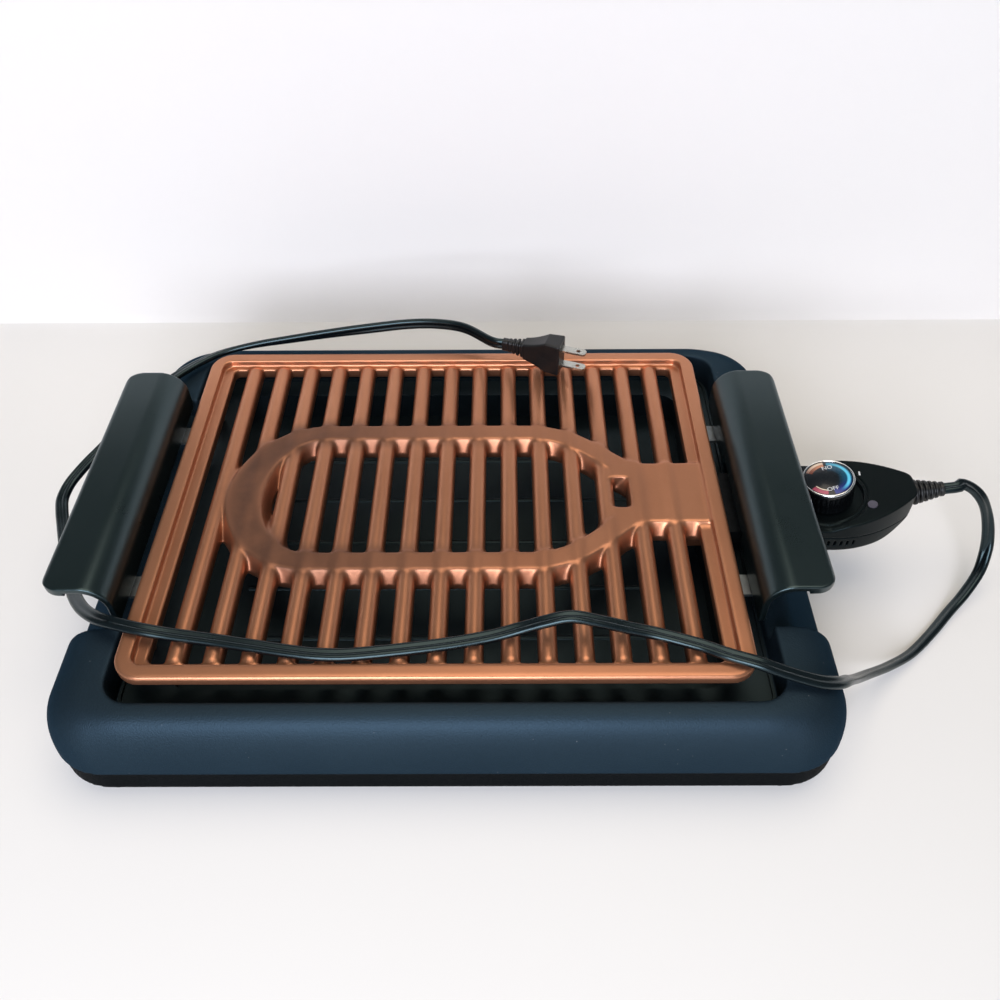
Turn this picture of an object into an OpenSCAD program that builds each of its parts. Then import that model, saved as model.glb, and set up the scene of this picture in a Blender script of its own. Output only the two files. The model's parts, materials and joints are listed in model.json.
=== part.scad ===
// Electric indoor grill: a cast plate with an element ring, two handles, a drip tray,
// a moulded base and a plug-in thermostat control with its flat cord.
// Millimetres, +Z up. Inside at_plate() the origin is the middle of the plate's rim top.

/* [Grill plate] */
// Length of the cast plate, left to right
plate_l = 350; // [336:2:364]
// Depth of the cast plate, front to back
plate_d = 280; // [270:2:290]
// Corner radius of the plate
plate_r = 16; // [13:1:20]
// Height of the plate's rim top above the table
rim_z = 78; // [76:1:84]
// Width of the flat rim round the plate
rim_w = 9; // [8:0.5:10]
// Thickness of the rim
rim_t = 4; // [3:0.5:4.5]
// Radius of the rolled outer edge
roll_r = 2.5; // [1.5:0.5:3]
// Height of the skirt below the rim top
skirt_h = 7; // [6:0.5:9]
// Drop from the rim top to the ledge inside it
ledge_drop = 5; // [4:0.5:6]
// Width of the ledge at the left and right
ledge_side = 7.5; // [6:0.5:9]
// Width of the ledge at the front and back
ledge_end = 4; // [3:0.5:6]
// Depth of the bars' underside below the rim top
bar_bottom = 12.5; // [11:0.5:13.5]
// Width of a bar, with a half-round top
bar_w = 11; // [9:0.5:12]
// Distance from bar to bar
bar_pitch = 20.5; // [19:0.5:22]
// Drop from the rim top to the tops of the bars
bar_drop = 2.5; // [1.5:0.5:3.5]

/* [Element ring] */
// Half depth of the ring over its front and back arms
ring_half = 63; // [59:1:67]
// Width of an arm of the ring
ring_w = 13; // [11:0.5:15]
// Distance of the ring's left end from the middle of the plate
ring_left = 140; // [136:1:144]
// Width of the ring at its left end
ring_left_w = 25; // [20:1:28]
// Left end of the straight arms, from the middle of the plate
arm_left = 80; // [75:1:85]
// Right end of the straight arms, from the middle of the plate
arm_right = 52; // [48:1:55]
// Radius of the outer shoulder where an arm turns to the pad
shoulder_r = 70; // [65:1:75]
// Angle through which an arm turns to the pad
taper = 40; // [37:1:43]
// Drop from the rim top to the ring's flat top
ring_drop = 2; // [1:0.5:2.5]
// Depth of the ring's underside below the rim top
ring_bottom = 16; // [15.5:0.5:18]
// Length of the pad that covers the terminals
pad_l = 50; // [46:1:54]
// Depth of the pad, front to back
pad_d = 51; // [49:1:55]
// Diameter of the heating element's sheath
element_d = 6.6; // [6:0.2:7]
// Room round the element in its groove
element_gap = 0.3; // [0.2:0.05:0.4]

/* [Handles] */
// Length of a handle, front to back
handle_l = 190; // [180:2:194]
// Reach of a handle from the middle of the plate
handle_x = 221; // [218:1:226]
// Height of a handle's shelf above the rim top
handle_h = 19; // [17:0.5:22]
// Gap between the plate and a handle
handle_gap = 9; // [8:0.5:10]
// Radius of the handle's rounded shoulder
handle_r = 14; // [12:1:15]
// Wall of a handle
handle_t = 4; // [3:0.5:4.5]
// Depth of the rolled lip below the shelf's top
lip_h = 6; // [5:0.5:8]
// Depth of a handle's wall below the rim top
handle_drop = 12; // [10:0.5:12.5]
// Radius of a handle's outer corners
handle_corner = 12; // [8:1:16]
// Distance of a handle's brackets from its middle
bracket_y = 66.5; // [60:0.5:72]
// Width of a steel bracket
bracket_w = 15; // [12:1:18]
// Thickness of a steel bracket
bracket_t = 2; // [1.5:0.25:2.5]

/* [Base] */
// Length of the base over its widest line
base_l = 452; // [444:2:460]
// Depth of the base over its widest line
base_d = 338; // [332:2:344]
// Distance of the base's middle to the right of the plate's middle
base_shift = 5; // [3:0.5:6]
// Length of the well inside the base
well_l = 372; // [368:2:380]
// Depth of the well inside the base
well_d = 296; // [292:2:300]
// Height of the base's top edge above the table
base_top = 68; // [66:1:69]
// Height of the bullnose's widest line above the table
base_wide_z = 20; // [17:1:24]
// Height of the base's lower edge above the table
base_low = 9; // [7:1:11]
// Wall of the base
base_t = 3; // [2.5:0.5:3.5]
// Corner radius of the base at its widest line
base_r = 36; // [32:1:44]
// Height of the well's step, which carries the drip tray
step_z = 46; // [44:1:47]
// Length of the recess under each handle
recess_l = 198; // [196:2:206]
// Height of the recess above the table
recess_z = 53; // [51:1:55]
// Height of the recess at its outer edge, down to which it slopes
scoop_z = 30; // [26:1:36]
// Width of the channel for the control
channel_w = 68; // [66:1:72]
// Diameter of a foot
foot_d = 15; // [12:1:15]

/* [Drip tray] */
// Depth of the tray's bowl
tray_h = 22; // [18:1:24]
// Thickness of the tray's sheet
tray_t = 1.2; // [1:0.1:1.6]
// Gap round the tray's flange
tray_gap = 2; // [1:0.5:3]

/* [Socket and control] */
// Depth of the socket's middle line below the rim top
socket_z = 18; // [17.5:0.25:18.5]
// Distance between the two terminal pins
pin_pitch = 25; // [24:0.5:26]
// Diameter of a terminal pin
pin_d = 4.7; // [4.2:0.1:5]
// Diameter of the sensor probe
probe_d = 5.8; // [5:0.1:6]
// Clearance of the probe in its bore
probe_gap = 0.3; // [0.25:0.05:0.5]
// Width of the control
control_w = 59; // [58:0.5:61]
// Start of the control, from the middle of the plate
control_x0 = 190; // [189:0.5:191]
// End of the control, from the middle of the plate
control_x1 = 297; // [295:1:301]
// Depth of the control's underside below the rim top
control_low = 27; // [26.5:0.5:28]
// Wall of the control's shells
shell_t = 2; // [1.6:0.1:2.2]
// Angle at which the control's top and dial lean
lean = 10; // [8:1:12]
// Place of the dial's axis, from the middle of the plate
dial_x = 243.6; // [243:0.1:245]
// Radius of the dial knob
knob_r = 16; // [15:0.5:17]
// Height of the knob above the control's top
knob_h = 15; // [13:0.5:17]
// Clearance of the knob above its recess
knob_gap = 0.6; // [0.4:0.1:0.8]
// Length of the strain relief outside the control
relief_l = 22; // [20:1:26]

/* [Cord] */
// Width of the flat cord
cord_w = 8.2; // [7.6:0.2:8.6]
// Thickness of the flat cord
cord_t = 4.4; // [4:0.2:4.8]

/* [Hidden] */

$fn = 48;
eps = 0.01;
reach = 400;
seat_gap = 0.2;
fit_gap = 0.1;

// plate
half_l = plate_l / 2;
half_d = plate_d / 2;
slot_x = half_l - rim_w - ledge_side;
slot_y = half_d - rim_w - ledge_end;
bar_r = bar_w / 2;
bar_n = floor((2 * slot_x - bar_w) / bar_pitch);
bar_x = [for (i = [0:bar_n - 1]) (i - (bar_n - 1) / 2) * bar_pitch];
bar_end = half_d - rim_w - 1;

// element ring
arm_in = ring_half - ring_w;
arm_mid = ring_half - ring_w / 2;
pad_x1 = half_l - rim_w + eps;
pad_x0 = half_l - 7 - pad_l;
element_z = -(ring_bottom - element_d / 2 - 0.4);
groove_w = element_d + 2 * element_gap;
pin_y = pin_pitch / 2;
element_end = half_l - 11;

// handles
handle_in = half_l + handle_gap;
boss_x = half_l - 7;
boss_low = handle_drop + 2;
column_x = handle_in + 12;
screw_r = 1.9;
head_r = 3.6;

// base
base_x = base_shift;
land = 2.5;
strip_in = 1.5;
scoop_w = 24;
foot_h = 6;
foot_r = foot_d / 2;
foot_x = well_l / 2 + base_t + foot_r - 6;
foot_y = well_d / 2 + base_t + foot_r - 2.5;
stem_r = 2.5;

// tray
flange_l = well_l - 2 * tray_gap;
flange_d = well_d - 2 * tray_gap;
bowl_l = 324;
bowl_d = 258;
ledge_l = bowl_l + 16;
ledge_d = bowl_d + 12;
tray_top = step_z + seat_gap + tray_t;

// control
split_z = -15;
control_tip = 8.5;
mouth = 14;
guard_t = 1.2;
guard_w = 52;
guard_h = 11;
guard_end = half_l + 27;
pin_end = guard_end + 3;
carrier_t = 3;
probe_tip = half_l - 37;
sleeve_r = 3.4;
top_flat = -9;
dial_z = -5.64;
recess_r = knob_r + 6;
recess_h = 3;
bezel_w = 1.5;
spindle_r = 2.9;
spindle_top = knob_h - 6;
spindle_low = -12;
relief_x = control_x1 - 2.5;
relief_z = -5;
lamp_at = [24.8, -13.3];
lamp_r = 3;
relief_tip_r = cord_w / 2 + 0.5;
screw_at = [[control_x0 + 22, -control_w / 2 + 6], [control_x0 + 22, control_w / 2 - 6],
    [control_x1 - 17, 0]];
wire_d = 2;
wire_run = [[0, 1, 1], [0.08, 1, 1], [0.21, 1.32, 1.11], [0.39, 1.4, 1.19], [0.57, 1.28, 1.19],
    [0.73, 0.88, 1.11], [0.88, 0.52, 0.83], [0.96, 0.32, 0.56], [1, 0.21, 0.44]];
relief_neck_r = 4.7;
relief_dir = [cos(lean), 0, sin(lean)];
relief_tip = [relief_x, 0, relief_z] + relief_l * relief_dir;

// plug, which stands on its narrow side on the plate's back rim
plug_at = [79, 119, 12.8];
plug_turn = -19;
plug_l = 28;
plug_tail = 16;
plug_dir = [cos(plug_turn), sin(plug_turn), 0];
plug_end = plug_at - (plug_l + plug_tail) * plug_dir;

// Free points of the cord, from the strain relief to the plug: x, y, z, roll of the section
cord_free = [
    [328, 2, 1, -5], [337, 2, -4, -22], [345, 0, -12, -36], [352, -2, -25, -38],
    [356, -6, -38, -30], [357, -11, -50, -32], [353, -20, -61, -36], [342, -32, -69, -38],
    [330, -43, -73, -42], [313, -60, -74, -45], [295, -76, -73, -42], [275, -90, -66, -38],
    [254, -105, -52, -33], [240, -117, -38, -27], [229, -128, -22, -14],
    [220, -136, -12, -4], [209, -139, -7, 0], [198, -138, -4, 0], [185, -136, 0, 0],
    [173, -133, 3, 0], [159, -128, 3, 0], [144, -120, 1, 0], [123, -113, 1, 0],
    [107, -111, 4, 0], [90, -110, 9, 0], [74, -109, 12, 0], [60, -110, 9, 0],
    [46, -111, 4, 0], [30, -114, 1, 0], [8, -118, 0, 0], [-19, -122, 0, 0],
    [-46, -125, 0, 0], [-63, -125, 0, 0], [-79, -123, 0, 0], [-102, -119, 0, 0],
    [-125, -115, 0, 0], [-148, -112, 1, 0], [-164, -110, 3, 0], [-179, -106, 3, 0],
    [-192, -100, 0, 0], [-206, -88, -6, 0], [-219, -70, -13, 0], [-230, -47, -18, 0],
    [-239, -28, -20, 0], [-246, -11, -21, 0], [-251, 2, -21, 0], [-254, 13, -21, 0],
    [-253, 25, -20, 0], [-249, 34, -18, 0], [-243, 43, -15, 0], [-235, 55, -12, 0],
    [-226, 73, -9, 0], [-217, 90, -7, 0], [-209, 105, -6, 0], [-201, 119, -5, 10],
    [-186, 136, -5, 20], [-170, 147, -4, 30], [-148, 153, -2, 45], [-122, 157, 0, 60],
    [-92, 160, 3, 75], [-62, 162, 6, 90], [-32, 163, 9, 90], [-9, 160, 11, 90],
    [10, 153, 12, 90]];
// The free point at which the lead ends and the run begins
cord_joint = 19;

// The whole part's middle, which is the origin of the model
far_right = relief_tip[0] + relief_tip_r * sin(lean);
part_x = (handle_x - far_right) / 2;

// ---------------------------------------------------------------- helpers

module at_plate() {
    translate([part_x, 0, rim_z]) children();
}

module at_base() {
    translate([part_x + base_x, 0, 0]) children();
}

// Frame of the dial: its origin lies on the control's leaning top, its Z is the dial's axis
module in_dial_frame() {
    translate([dial_x, 0, dial_z]) rotate([0, -lean, 0]) children();
}

module at_dial() {
    at_plate() in_dial_frame() children();
}

module at_relief() {
    at_plate() translate([relief_x, 0, relief_z]) rotate([0, -lean, 0]) children();
}

module at_plug() {
    at_plate() translate(plug_at) rotate([0, 0, plug_turn]) children();
}

// Rounded rectangle of length l, depth d and corner radius r
module plan(l, d, r) {
    square([l - 2 * r, d], center = true);
    square([l, d - 2 * r], center = true);
    for (sx = [-1, 1], sy = [-1, 1])
        translate([sx * (l / 2 - r), sy * (d / 2 - r)]) circle(r);
}

module block(l, d, r, z0, z1) {
    translate([0, 0, z0]) linear_extrude(z1 - z0) plan(l, d, r);
}

// Box between two corners
module box(a, b) {
    translate(a) cube(b - a);
}

module rod_x(r, x0, x1) {
    translate([x0, 0, 0]) rotate([0, 90, 0]) cylinder(r = r, h = x1 - x0);
}

// Outline drawn in X and Z, w wide along Y
module slab_y(w) {
    rotate([90, 0, 0]) translate([0, 0, -w / 2]) linear_extrude(w) children();
}

// Points on an arc of an ellipse
function arc(cx, cy, rx, ry, a0, a1, n) =
    [for (i = [0:n]) let (a = a0 + (a1 - a0) * i / n) [cx + rx * cos(a), cy + ry * sin(a)]];

function unit(v) = v / norm(v);
function xyz(p) = [p[0], p[1], p[2]];

// Direction of the run at point i
function heading(p, i) =
    unit(xyz(p[min(i + 1, len(p) - 1)]) - xyz(p[max(i - 1, 0)]));

// Points of an oval section about point i, w wide and t thick, turned by the point's roll
function section(p, i, w, t, sides) =
    let (h = heading(p, i),
         level = unit(cross(h, [0, 0, 1])),
         above = cross(level, h),
         roll = p[i][3],
         wide = cos(roll) * level + sin(roll) * above,
         thick = cos(roll) * above - sin(roll) * level)
    [for (k = [0:sides - 1]) let (a = 360 * (k + 0.5) / sides)
        xyz(p[i]) + w / 2 * cos(a) * wide + t / 2 * sin(a) * thick];

// Tube along points first to last of a route
module sweep(p, first, last, w, t, sides) {
    rings = last - first;
    points = [for (i = [first:last]) each section(p, i, w, t, sides)];
    walls = [for (i = [0:rings - 1], k = [0:sides - 1])
        let (a = i * sides + k, b = i * sides + (k + 1) % sides)
        each [[a, b, b + sides], [a, b + sides, a + sides]]];
    start = [for (k = [1:sides - 2]) [0, k + 1, k]];
    ends = [for (k = [1:sides - 2])
        [rings * sides, rings * sides + k, rings * sides + k + 1]];
    polyhedron(points = points, faces = concat(walls, start, ends), convexity = 8);
}

// ---------------------------------------------------------------- base

// Share of the bullnose's width reached at height z, from 1 at the widest line to 0 at the top
function bulge(z) =
    let (s = (z - base_wide_z) / (base_top - base_wide_z)) pow(1 - pow(s, 2.8), 1 / 2.8);

// Ring of points of a rounded rectangle
function rim_points(a, b, r, z) =
    [for (q = [0:3], i = [0:8])
        let (t = 90 * q + 90 * i / 8, sx = (q == 0 || q == 3) ? 1 : -1, sy = q < 2 ? 1 : -1)
        [sx * (a - r) + r * cos(t), sy * (b - r) + r * sin(t), z]];

// Bullnose of the base, drawn in by i on its sides and lowered by i on its top
module bullnose(i, low) {
    levels = [for (k = [0:9]) let (a = 90 * k / 9)
        base_wide_z + (base_top - base_wide_z) * sin(a)];
    a_in = well_l / 2 + land;
    b_in = well_d / 2 + land;
    r_in = plate_r + land;
    shares = [for (z = levels) bulge(min(z, base_top))];
    rings = concat([rim_points(base_l / 2 - i, base_d / 2 - i, base_r - i, low)],
        [for (k = [0:9]) rim_points(
            a_in + (base_l / 2 - a_in) * shares[k] - i,
            b_in + (base_d / 2 - b_in) * shares[k] - i,
            r_in + (base_r - r_in) * shares[k] - min(i, r_in - 1),
            levels[k] - i * (1 - shares[k]))]);
    n = len(rings[0]);
    m = len(rings);
    walls = [for (j = [0:m - 2], k = [0:n - 1])
        let (a = j * n + k, b = j * n + (k + 1) % n)
        each [[a, b + n, b], [a, a + n, b + n]]];
    bottom = [for (k = [1:n - 2]) [0, k, k + 1]];
    top = [for (k = [1:n - 2]) [(m - 1) * n, (m - 1) * n + k + 1, (m - 1) * n + k]];
    polyhedron(points = [for (r = rings) each r], faces = concat(walls, bottom, top),
        convexity = 4);
}

// Room cut from the base's sides, grown by g to leave a wall round it.
// Its floor is level by the well, then slopes down to the outside.
module side_room(g) {
    slope = (recess_z - scoop_z) / scoop_w;
    drop = g * sqrt(1 + slope * slope);
    x0 = base_l / 2 - scoop_w;
    for (s = [0, 1]) mirror([s, 0, 0]) slab_y(recess_l + 2 * g)
        polygon([[x0, recess_z - drop], [x0 + 2 * scoop_w, 2 * scoop_z - recess_z - drop],
            [x0 + 2 * scoop_w, base_top], [x0, base_top]]);
    for (s = [-1, 1])
        box([s > 0 ? well_l / 2 - 2 - g : -reach, -recess_l / 2 - g, recess_z - g],
            [s > 0 ? reach : -well_l / 2 + 2 + g, recess_l / 2 + g, base_top + 9]);
    box([well_l / 2 - 2 - g, -channel_w / 2 - g, step_z - g],
        [reach, channel_w / 2 + g, base_top + 9]);
}

module foot_posts(r, z0, z1) {
    for (sx = [-1, 1], sy = [-1, 1])
        translate([sx * foot_x, sy * foot_y, z0]) cylinder(r = r, h = z1 - z0);
}

module base_shell() {
    floor_z = tray_top - tray_h - 4;
    color("#1c2126") at_base() difference() {
        union() {
            difference() {
                bullnose(0, base_low);
                difference() {
                    bullnose(base_t, base_low - 1);
                    block(well_l + 2 * base_t, well_d + 2 * base_t, plate_r + base_t,
                        step_z - base_t, base_top + 9);
                    block(ledge_l + 2 * base_t, ledge_d + 2 * base_t, plate_r + base_t,
                        floor_z - base_t, base_top + 9);
                    side_room(base_t);
                }
            }
            intersection() {
                foot_posts(foot_r, base_low - foot_h, base_top);
                bullnose(0, base_low - foot_h);
            }
        }
        block(well_l, well_d, plate_r, step_z, base_top + 9);
        block(ledge_l, ledge_d, plate_r, floor_z, base_top + 9);
        side_room(0);
        foot_posts(stem_r + fit_gap, 0, base_low + 6);
        // the strip under the widest line stands back
        difference() {
            block(base_l + 20, base_d + 20, base_r, base_low - 1, base_wide_z);
            block(base_l - 2 * strip_in, base_d - 2 * strip_in, base_r - strip_in,
                base_low - 2, base_wide_z + 1);
        }
    }
}

module rubber_feet() {
    color("#101214") at_base() {
        foot_posts(foot_r - 0.5, 0, base_low - foot_h);
        foot_posts(stem_r, base_low - foot_h - eps, base_low + 5);
    }
}

// ---------------------------------------------------------------- tray

module drip_tray() {
    bowl_z = tray_top - tray_h;
    color("#2b2d30") at_base() difference() {
        union() {
            block(flange_l, flange_d, plate_r - tray_gap, tray_top - tray_t, tray_top);
            difference() {
                block(flange_l, flange_d, plate_r - tray_gap, tray_top - tray_t, tray_top + 2);
                block(flange_l - 3, flange_d - 3, plate_r - tray_gap - 1.5,
                    tray_top - 2 * tray_t, tray_top + 3);
            }
            block(bowl_l, bowl_d, plate_r, bowl_z, tray_top);
        }
        difference() {
            block(bowl_l - 2 * tray_t, bowl_d - 2 * tray_t, plate_r - tray_t,
                bowl_z + tray_t, tray_top + 3);
            // beads pressed into the floor
            for (y = [-78, -39, 0, 39, 78])
                translate([-bowl_l / 2 + 30, y, bowl_z + tray_t - 1.6])
                    rotate([0, 90, 0]) cylinder(r = 2.4, h = bowl_l - 60);
        }
    }
}

// ---------------------------------------------------------------- plate

// Section of the rim, drawn outward from the corner's centre line
module rim_section() {
    x1 = plate_r;
    x0 = plate_r - rim_w;
    translate([x0, -rim_t]) square([rim_w - roll_r, rim_t]);
    translate([x1 - roll_r, -roll_r]) circle(roll_r);
    translate([x1 - roll_r - eps, -skirt_h]) square([roll_r + eps, skirt_h - roll_r]);
    translate([x0, -bar_bottom]) square([2.5, bar_bottom - 0.8]);
}

module rim_frame() {
    x = half_l - plate_r;
    y = half_d - plate_r;
    for (q = [0:3])
        translate([(q == 0 || q == 3) ? x : -x, q < 2 ? y : -y, 0])
            rotate([0, 0, 90 * q]) rotate_extrude(angle = 90) rim_section();
    for (s = [0, 180]) rotate([0, 0, s]) {
        translate([x, 0, 0]) slab_y(2 * y) rim_section();
        translate([0, y, 0]) rotate([0, 0, 90]) slab_y(2 * x) rim_section();
    }
}

// Bar i: half-round top, domed ends that meet the rim's inner wall
module bar(x) {
    axis_z = -bar_drop - bar_r;
    translate([x, 0, 0]) {
        translate([0, bar_end - bar_r, axis_z]) rotate([90, 0, 0])
            cylinder(r = bar_r, h = 2 * (bar_end - bar_r));
        for (s = [-1, 1]) translate([0, s * (bar_end - bar_r), axis_z]) sphere(bar_r);
        box([-bar_r, -slot_y - 2, -bar_bottom], [bar_r, slot_y + 2, axis_z]);
    }
}

// Plan of the ring: its arms turn towards each other and run into the pad
module ring_plan() {
    sh = shoulder_r;
    hole_r = sh - ring_w;
    hole_y = ring_half - sh + hole_r * cos(taper)
        - (pad_x0 - arm_right - hole_r * sin(taper)) * tan(taper);
    turn_y = ring_half - sh + sh * cos(taper);
    turn_x = arm_right + sh * sin(taper);
    neck_x = turn_x + (turn_y - pad_d / 2) / tan(taper);
    difference() {
        union() {
            polygon(concat(
                arc(-arm_left, 0, ring_left - arm_left, ring_half, 90, 270, 24),
                arc(arm_right, sh - ring_half, sh, sh, 270, 270 + taper, 8),
                [[neck_x, -pad_d / 2], [neck_x, pad_d / 2]],
                arc(arm_right, ring_half - sh, sh, sh, 90 - taper, 90, 8)));
            translate([pad_x0, -pad_d / 2]) square([pad_x1 - pad_x0, pad_d]);
        }
        polygon(concat(
            arc(-arm_left, 0, ring_left - ring_left_w - arm_left, arm_in, 90, 270, 20),
            arc(arm_right, sh - ring_half, hole_r, hole_r, 270, 270 + taper, 8),
            [[pad_x0, -hole_y], [pad_x0, hole_y]],
            arc(arm_right, ring_half - sh, hole_r, hole_r, 90 - taper, 90, 8)));
    }
}

// Middle line of the element on the front half, from the left end to the terminal
function element_half() =
    let (r = shoulder_r - ring_w / 2,
         bend = 20,
         turn_x = arm_right + r * sin(taper),
         turn_y = -(arm_mid - r + r * cos(taper)),
         bend_y = -pin_y - bend * (1 - cos(taper)),
         bend_x = turn_x + (bend_y - turn_y) / tan(taper),
         x_in = bend_x + bend * sin(taper))
    concat(
        arc(-arm_left, 0, ring_left - ring_left_w / 2 - arm_left, arm_mid, 180, 270, 10),
        [[-arm_left / 3, -arm_mid]],
        arc(arm_right, r - arm_mid, r, r, 270, 270 + taper, 5),
        arc(x_in, -pin_y - bend, bend, bend, 90 + taper, 90, 4));

// The element in space: level in the ring, dropping to the socket's line at its ends
function element_route() =
    let (half = element_half(), n = len(half), drop = element_z + socket_z,
         x0 = half[n - 1][0], x1 = element_end - 3,
         fall = [for (k = [1:6]) let (u = k / 6)
            [x0 + (x1 - x0) * u, -pin_y, element_z - drop * (1 - cos(180 * u)) / 2, 0]],
         front = concat([for (p = half) [p[0], p[1], element_z, 0]], fall,
            [[element_end, -pin_y, -socket_z, 0]]))
    concat([for (i = [len(front) - 1:-1:1]) [front[i][0], -front[i][1], front[i][2], 0]],
        front);

// Groove under the ring for the element
module element_groove() {
    half = element_half();
    n = len(half);
    g = groove_w / 2;
    side = [for (i = [0:n - 1])
        let (a = half[max(i - 1, 0)], b = half[min(i + 1, n - 1)], t = (b - a) / norm(b - a),
             h = i == 0 ? [0, -1] : (i == n - 1 ? [1, 0] : t))
        [half[i] + g * [h[1], -h[0]], half[i] - g * [h[1], -h[0]]]];
    top = element_z + element_d / 2 + element_gap;
    for (m = [0, 1]) mirror([0, m, 0])
        translate([0, 0, -ring_bottom - 1]) linear_extrude(top + ring_bottom + 1)
            polygon(concat([for (s = side) s[0]], [for (i = [n - 1:-1:0]) side[i][1]]));
    for (s = [-1, 1])
        box([half[n - 1][0] - eps, s * pin_y - g, -socket_z - 12],
            [element_end + eps, s * pin_y + g, top]);
}

module grill_plate() {
    block_x = half_l - 25;
    block_low = socket_z + 9;
    color("#a8704f") at_plate() difference() {
        union() {
            rim_frame();
            difference() {
                block(2 * (half_l - rim_w) + 1, 2 * (half_d - rim_w) + 1, plate_r - rim_w + 0.5,
                    -bar_bottom, -ledge_drop);
                block(2 * slot_x, 2 * slot_y, 3, -bar_bottom - 1, 0);
            }
            for (x = bar_x) bar(x);
            translate([0, 0, -ring_bottom]) linear_extrude(ring_bottom - ring_drop) ring_plan();
            // terminal block and sensor boss under the pad
            box([block_x, -pad_d / 2, -block_low], [half_l, pad_d / 2, -rim_t]);
            box([probe_tip - 12, -8, -socket_z - 6], [block_x + 1, 8, -ring_drop - 1]);
            // legs that stand on the tray's flange
            for (sx = [-1, 1], sy = [-1, 1])
                translate([sx * (half_l - 5), sy * (half_d - 40), tray_top + seat_gap - rim_z])
                    cylinder(r = 4, h = rim_z - tray_top - seat_gap - rim_t / 2);
            for (sx = [0, 1], sy = [-1, 1]) mirror([sx, 0, 0]) {
                translate([boss_x, sy * bracket_y, -boss_low])
                    cylinder(r = 6.5, h = boss_low - ledge_drop - 0.5);
                translate([0, sy * bracket_y, 0])
                    box([half_l - rim_w + 0.5, -5, -ledge_drop - 1], [half_l - 1, 5, -rim_t / 2]);
            }
        }
        element_groove();
        translate([0, 0, -socket_z]) {
            rod_x(probe_d / 2 + probe_gap, probe_tip - 4, half_l + 1);
            for (s = [-1, 1]) translate([0, s * pin_y, 0])
                rod_x(pin_d / 2 + 1.6, element_end - 1, half_l + 1);
            for (s = [-1, 1]) translate([0, s * (guard_w / 2 - 5), 0])
                rod_x(screw_r + fit_gap, half_l - 10, half_l + 1);
        }
        for (sx = [-1, 1], sy = [-1, 1])
            translate([sx * boss_x, sy * bracket_y, -boss_low - 1])
                cylinder(r = screw_r + fit_gap, h = 9.5);
    }
}

module heating_element() {
    route = element_route();
    color("#6b6460") at_plate()
        sweep(route, 0, len(route) - 1, element_d, element_d, 12);
}

module terminal_pins() {
    color("#b8b4a8") at_plate() for (s = [-1, 1])
        translate([0, s * pin_y, -socket_z]) {
            rod_x(pin_d / 2, element_end, pin_end - pin_d / 2);
            translate([pin_end - pin_d / 2, 0, 0]) sphere(pin_d / 2);
        }
}

module pin_insulators() {
    r = pin_d / 2 + 1.5;
    color("#e8e4da") at_plate() for (s = [-1, 1])
        translate([0, s * pin_y, -socket_z]) difference() {
            rod_x(r, element_end + 0.3, half_l + 4);
            rod_x(pin_d / 2 + 0.05, element_end - 1, half_l + 5);
        }
}

module terminal_guard() {
    w = guard_w / 2;
    h = guard_h / 2;
    color("#9aa0a3") at_plate() translate([0, 0, -socket_z]) difference() {
        box([half_l, -w, -h], [guard_end, w, h]);
        box([half_l + guard_t, -w + guard_t, -h + guard_t], [guard_end + 1, w - guard_t, h - guard_t]);
        rod_x(probe_d / 2 + 2 * probe_gap, half_l - 1, half_l + 3);
        for (s = [-1, 1]) translate([0, s * pin_y, 0])
            rod_x(pin_d / 2 + 1.6, half_l - 1, half_l + 3);
        for (s = [-1, 1]) translate([0, s * (w - 5), 0])
            rod_x(screw_r + fit_gap, half_l - 1, half_l + 3);
    }
}

module guard_screws() {
    color("#8d9194") at_plate() for (s = [-1, 1])
        translate([0, s * (guard_w / 2 - 5), -socket_z]) difference() {
            union() {
                rod_x(screw_r, half_l - 9, half_l + guard_t);
                rod_x(3.2, half_l + guard_t, half_l + guard_t + 2);
            }
            box([half_l + guard_t + 1.2, -0.5, -4], [half_l + guard_t + 3, 0.5, 4]);
        }
}

// ---------------------------------------------------------------- handles

// Section of the right handle: shoulder, shelf and rolled lip
module handle_section() {
    cx = handle_in + handle_r;
    cz = handle_h - handle_r;
    lip = handle_t;
    x_in = handle_x - lip + 0.2;
    difference() {
        union() {
            translate([handle_in, -handle_drop]) square([handle_t, cz + handle_drop]);
            translate([cx, cz]) circle(handle_r);
            translate([cx, cz]) square([handle_x - lip - cx, handle_r]);
            translate([handle_x - lip, handle_h - lip]) circle(lip);
        }
        translate([handle_in + handle_t, -handle_drop - 1])
            square([x_in - handle_in - handle_t, cz + handle_drop + 1]);
        translate([cx, cz]) circle(handle_r - handle_t);
        translate([cx, cz - eps]) square([x_in - cx, handle_r - handle_t + eps]);
        translate([cx, cz]) square([handle_r + handle_x, handle_r - lip_h]);
    }
}

module handle() {
    difference() {
        union() {
            intersection() {
                slab_y(handle_l) handle_section();
                translate([0, 0, -reach / 2]) linear_extrude(reach)
                    union() {
                        translate([handle_x - 60, 0]) plan(120, handle_l, handle_corner);
                        translate([handle_in - 1, -handle_l / 2])
                            square([handle_r + 1, handle_l]);
                    }
            }
            for (s = [-1, 1]) {
                translate([column_x, s * bracket_y, -boss_low])
                    cylinder(r = 5.5, h = boss_low + handle_h - handle_t / 2);
                translate([0, s * bracket_y, 0]) slab_y(3)
                    polygon([[handle_in + 1, -handle_drop], [column_x, -handle_drop],
                        [column_x, handle_h - handle_r - 2],
                        [handle_x - 6, handle_h - handle_t / 2], [column_x, handle_h - 1.5],
                        [handle_in + 2, handle_h - handle_r]]);
            }
        }
        for (s = [-1, 1]) translate([column_x, s * bracket_y, -boss_low - 1])
            cylinder(r = screw_r + fit_gap, h = 9.5);
    }
}

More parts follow.
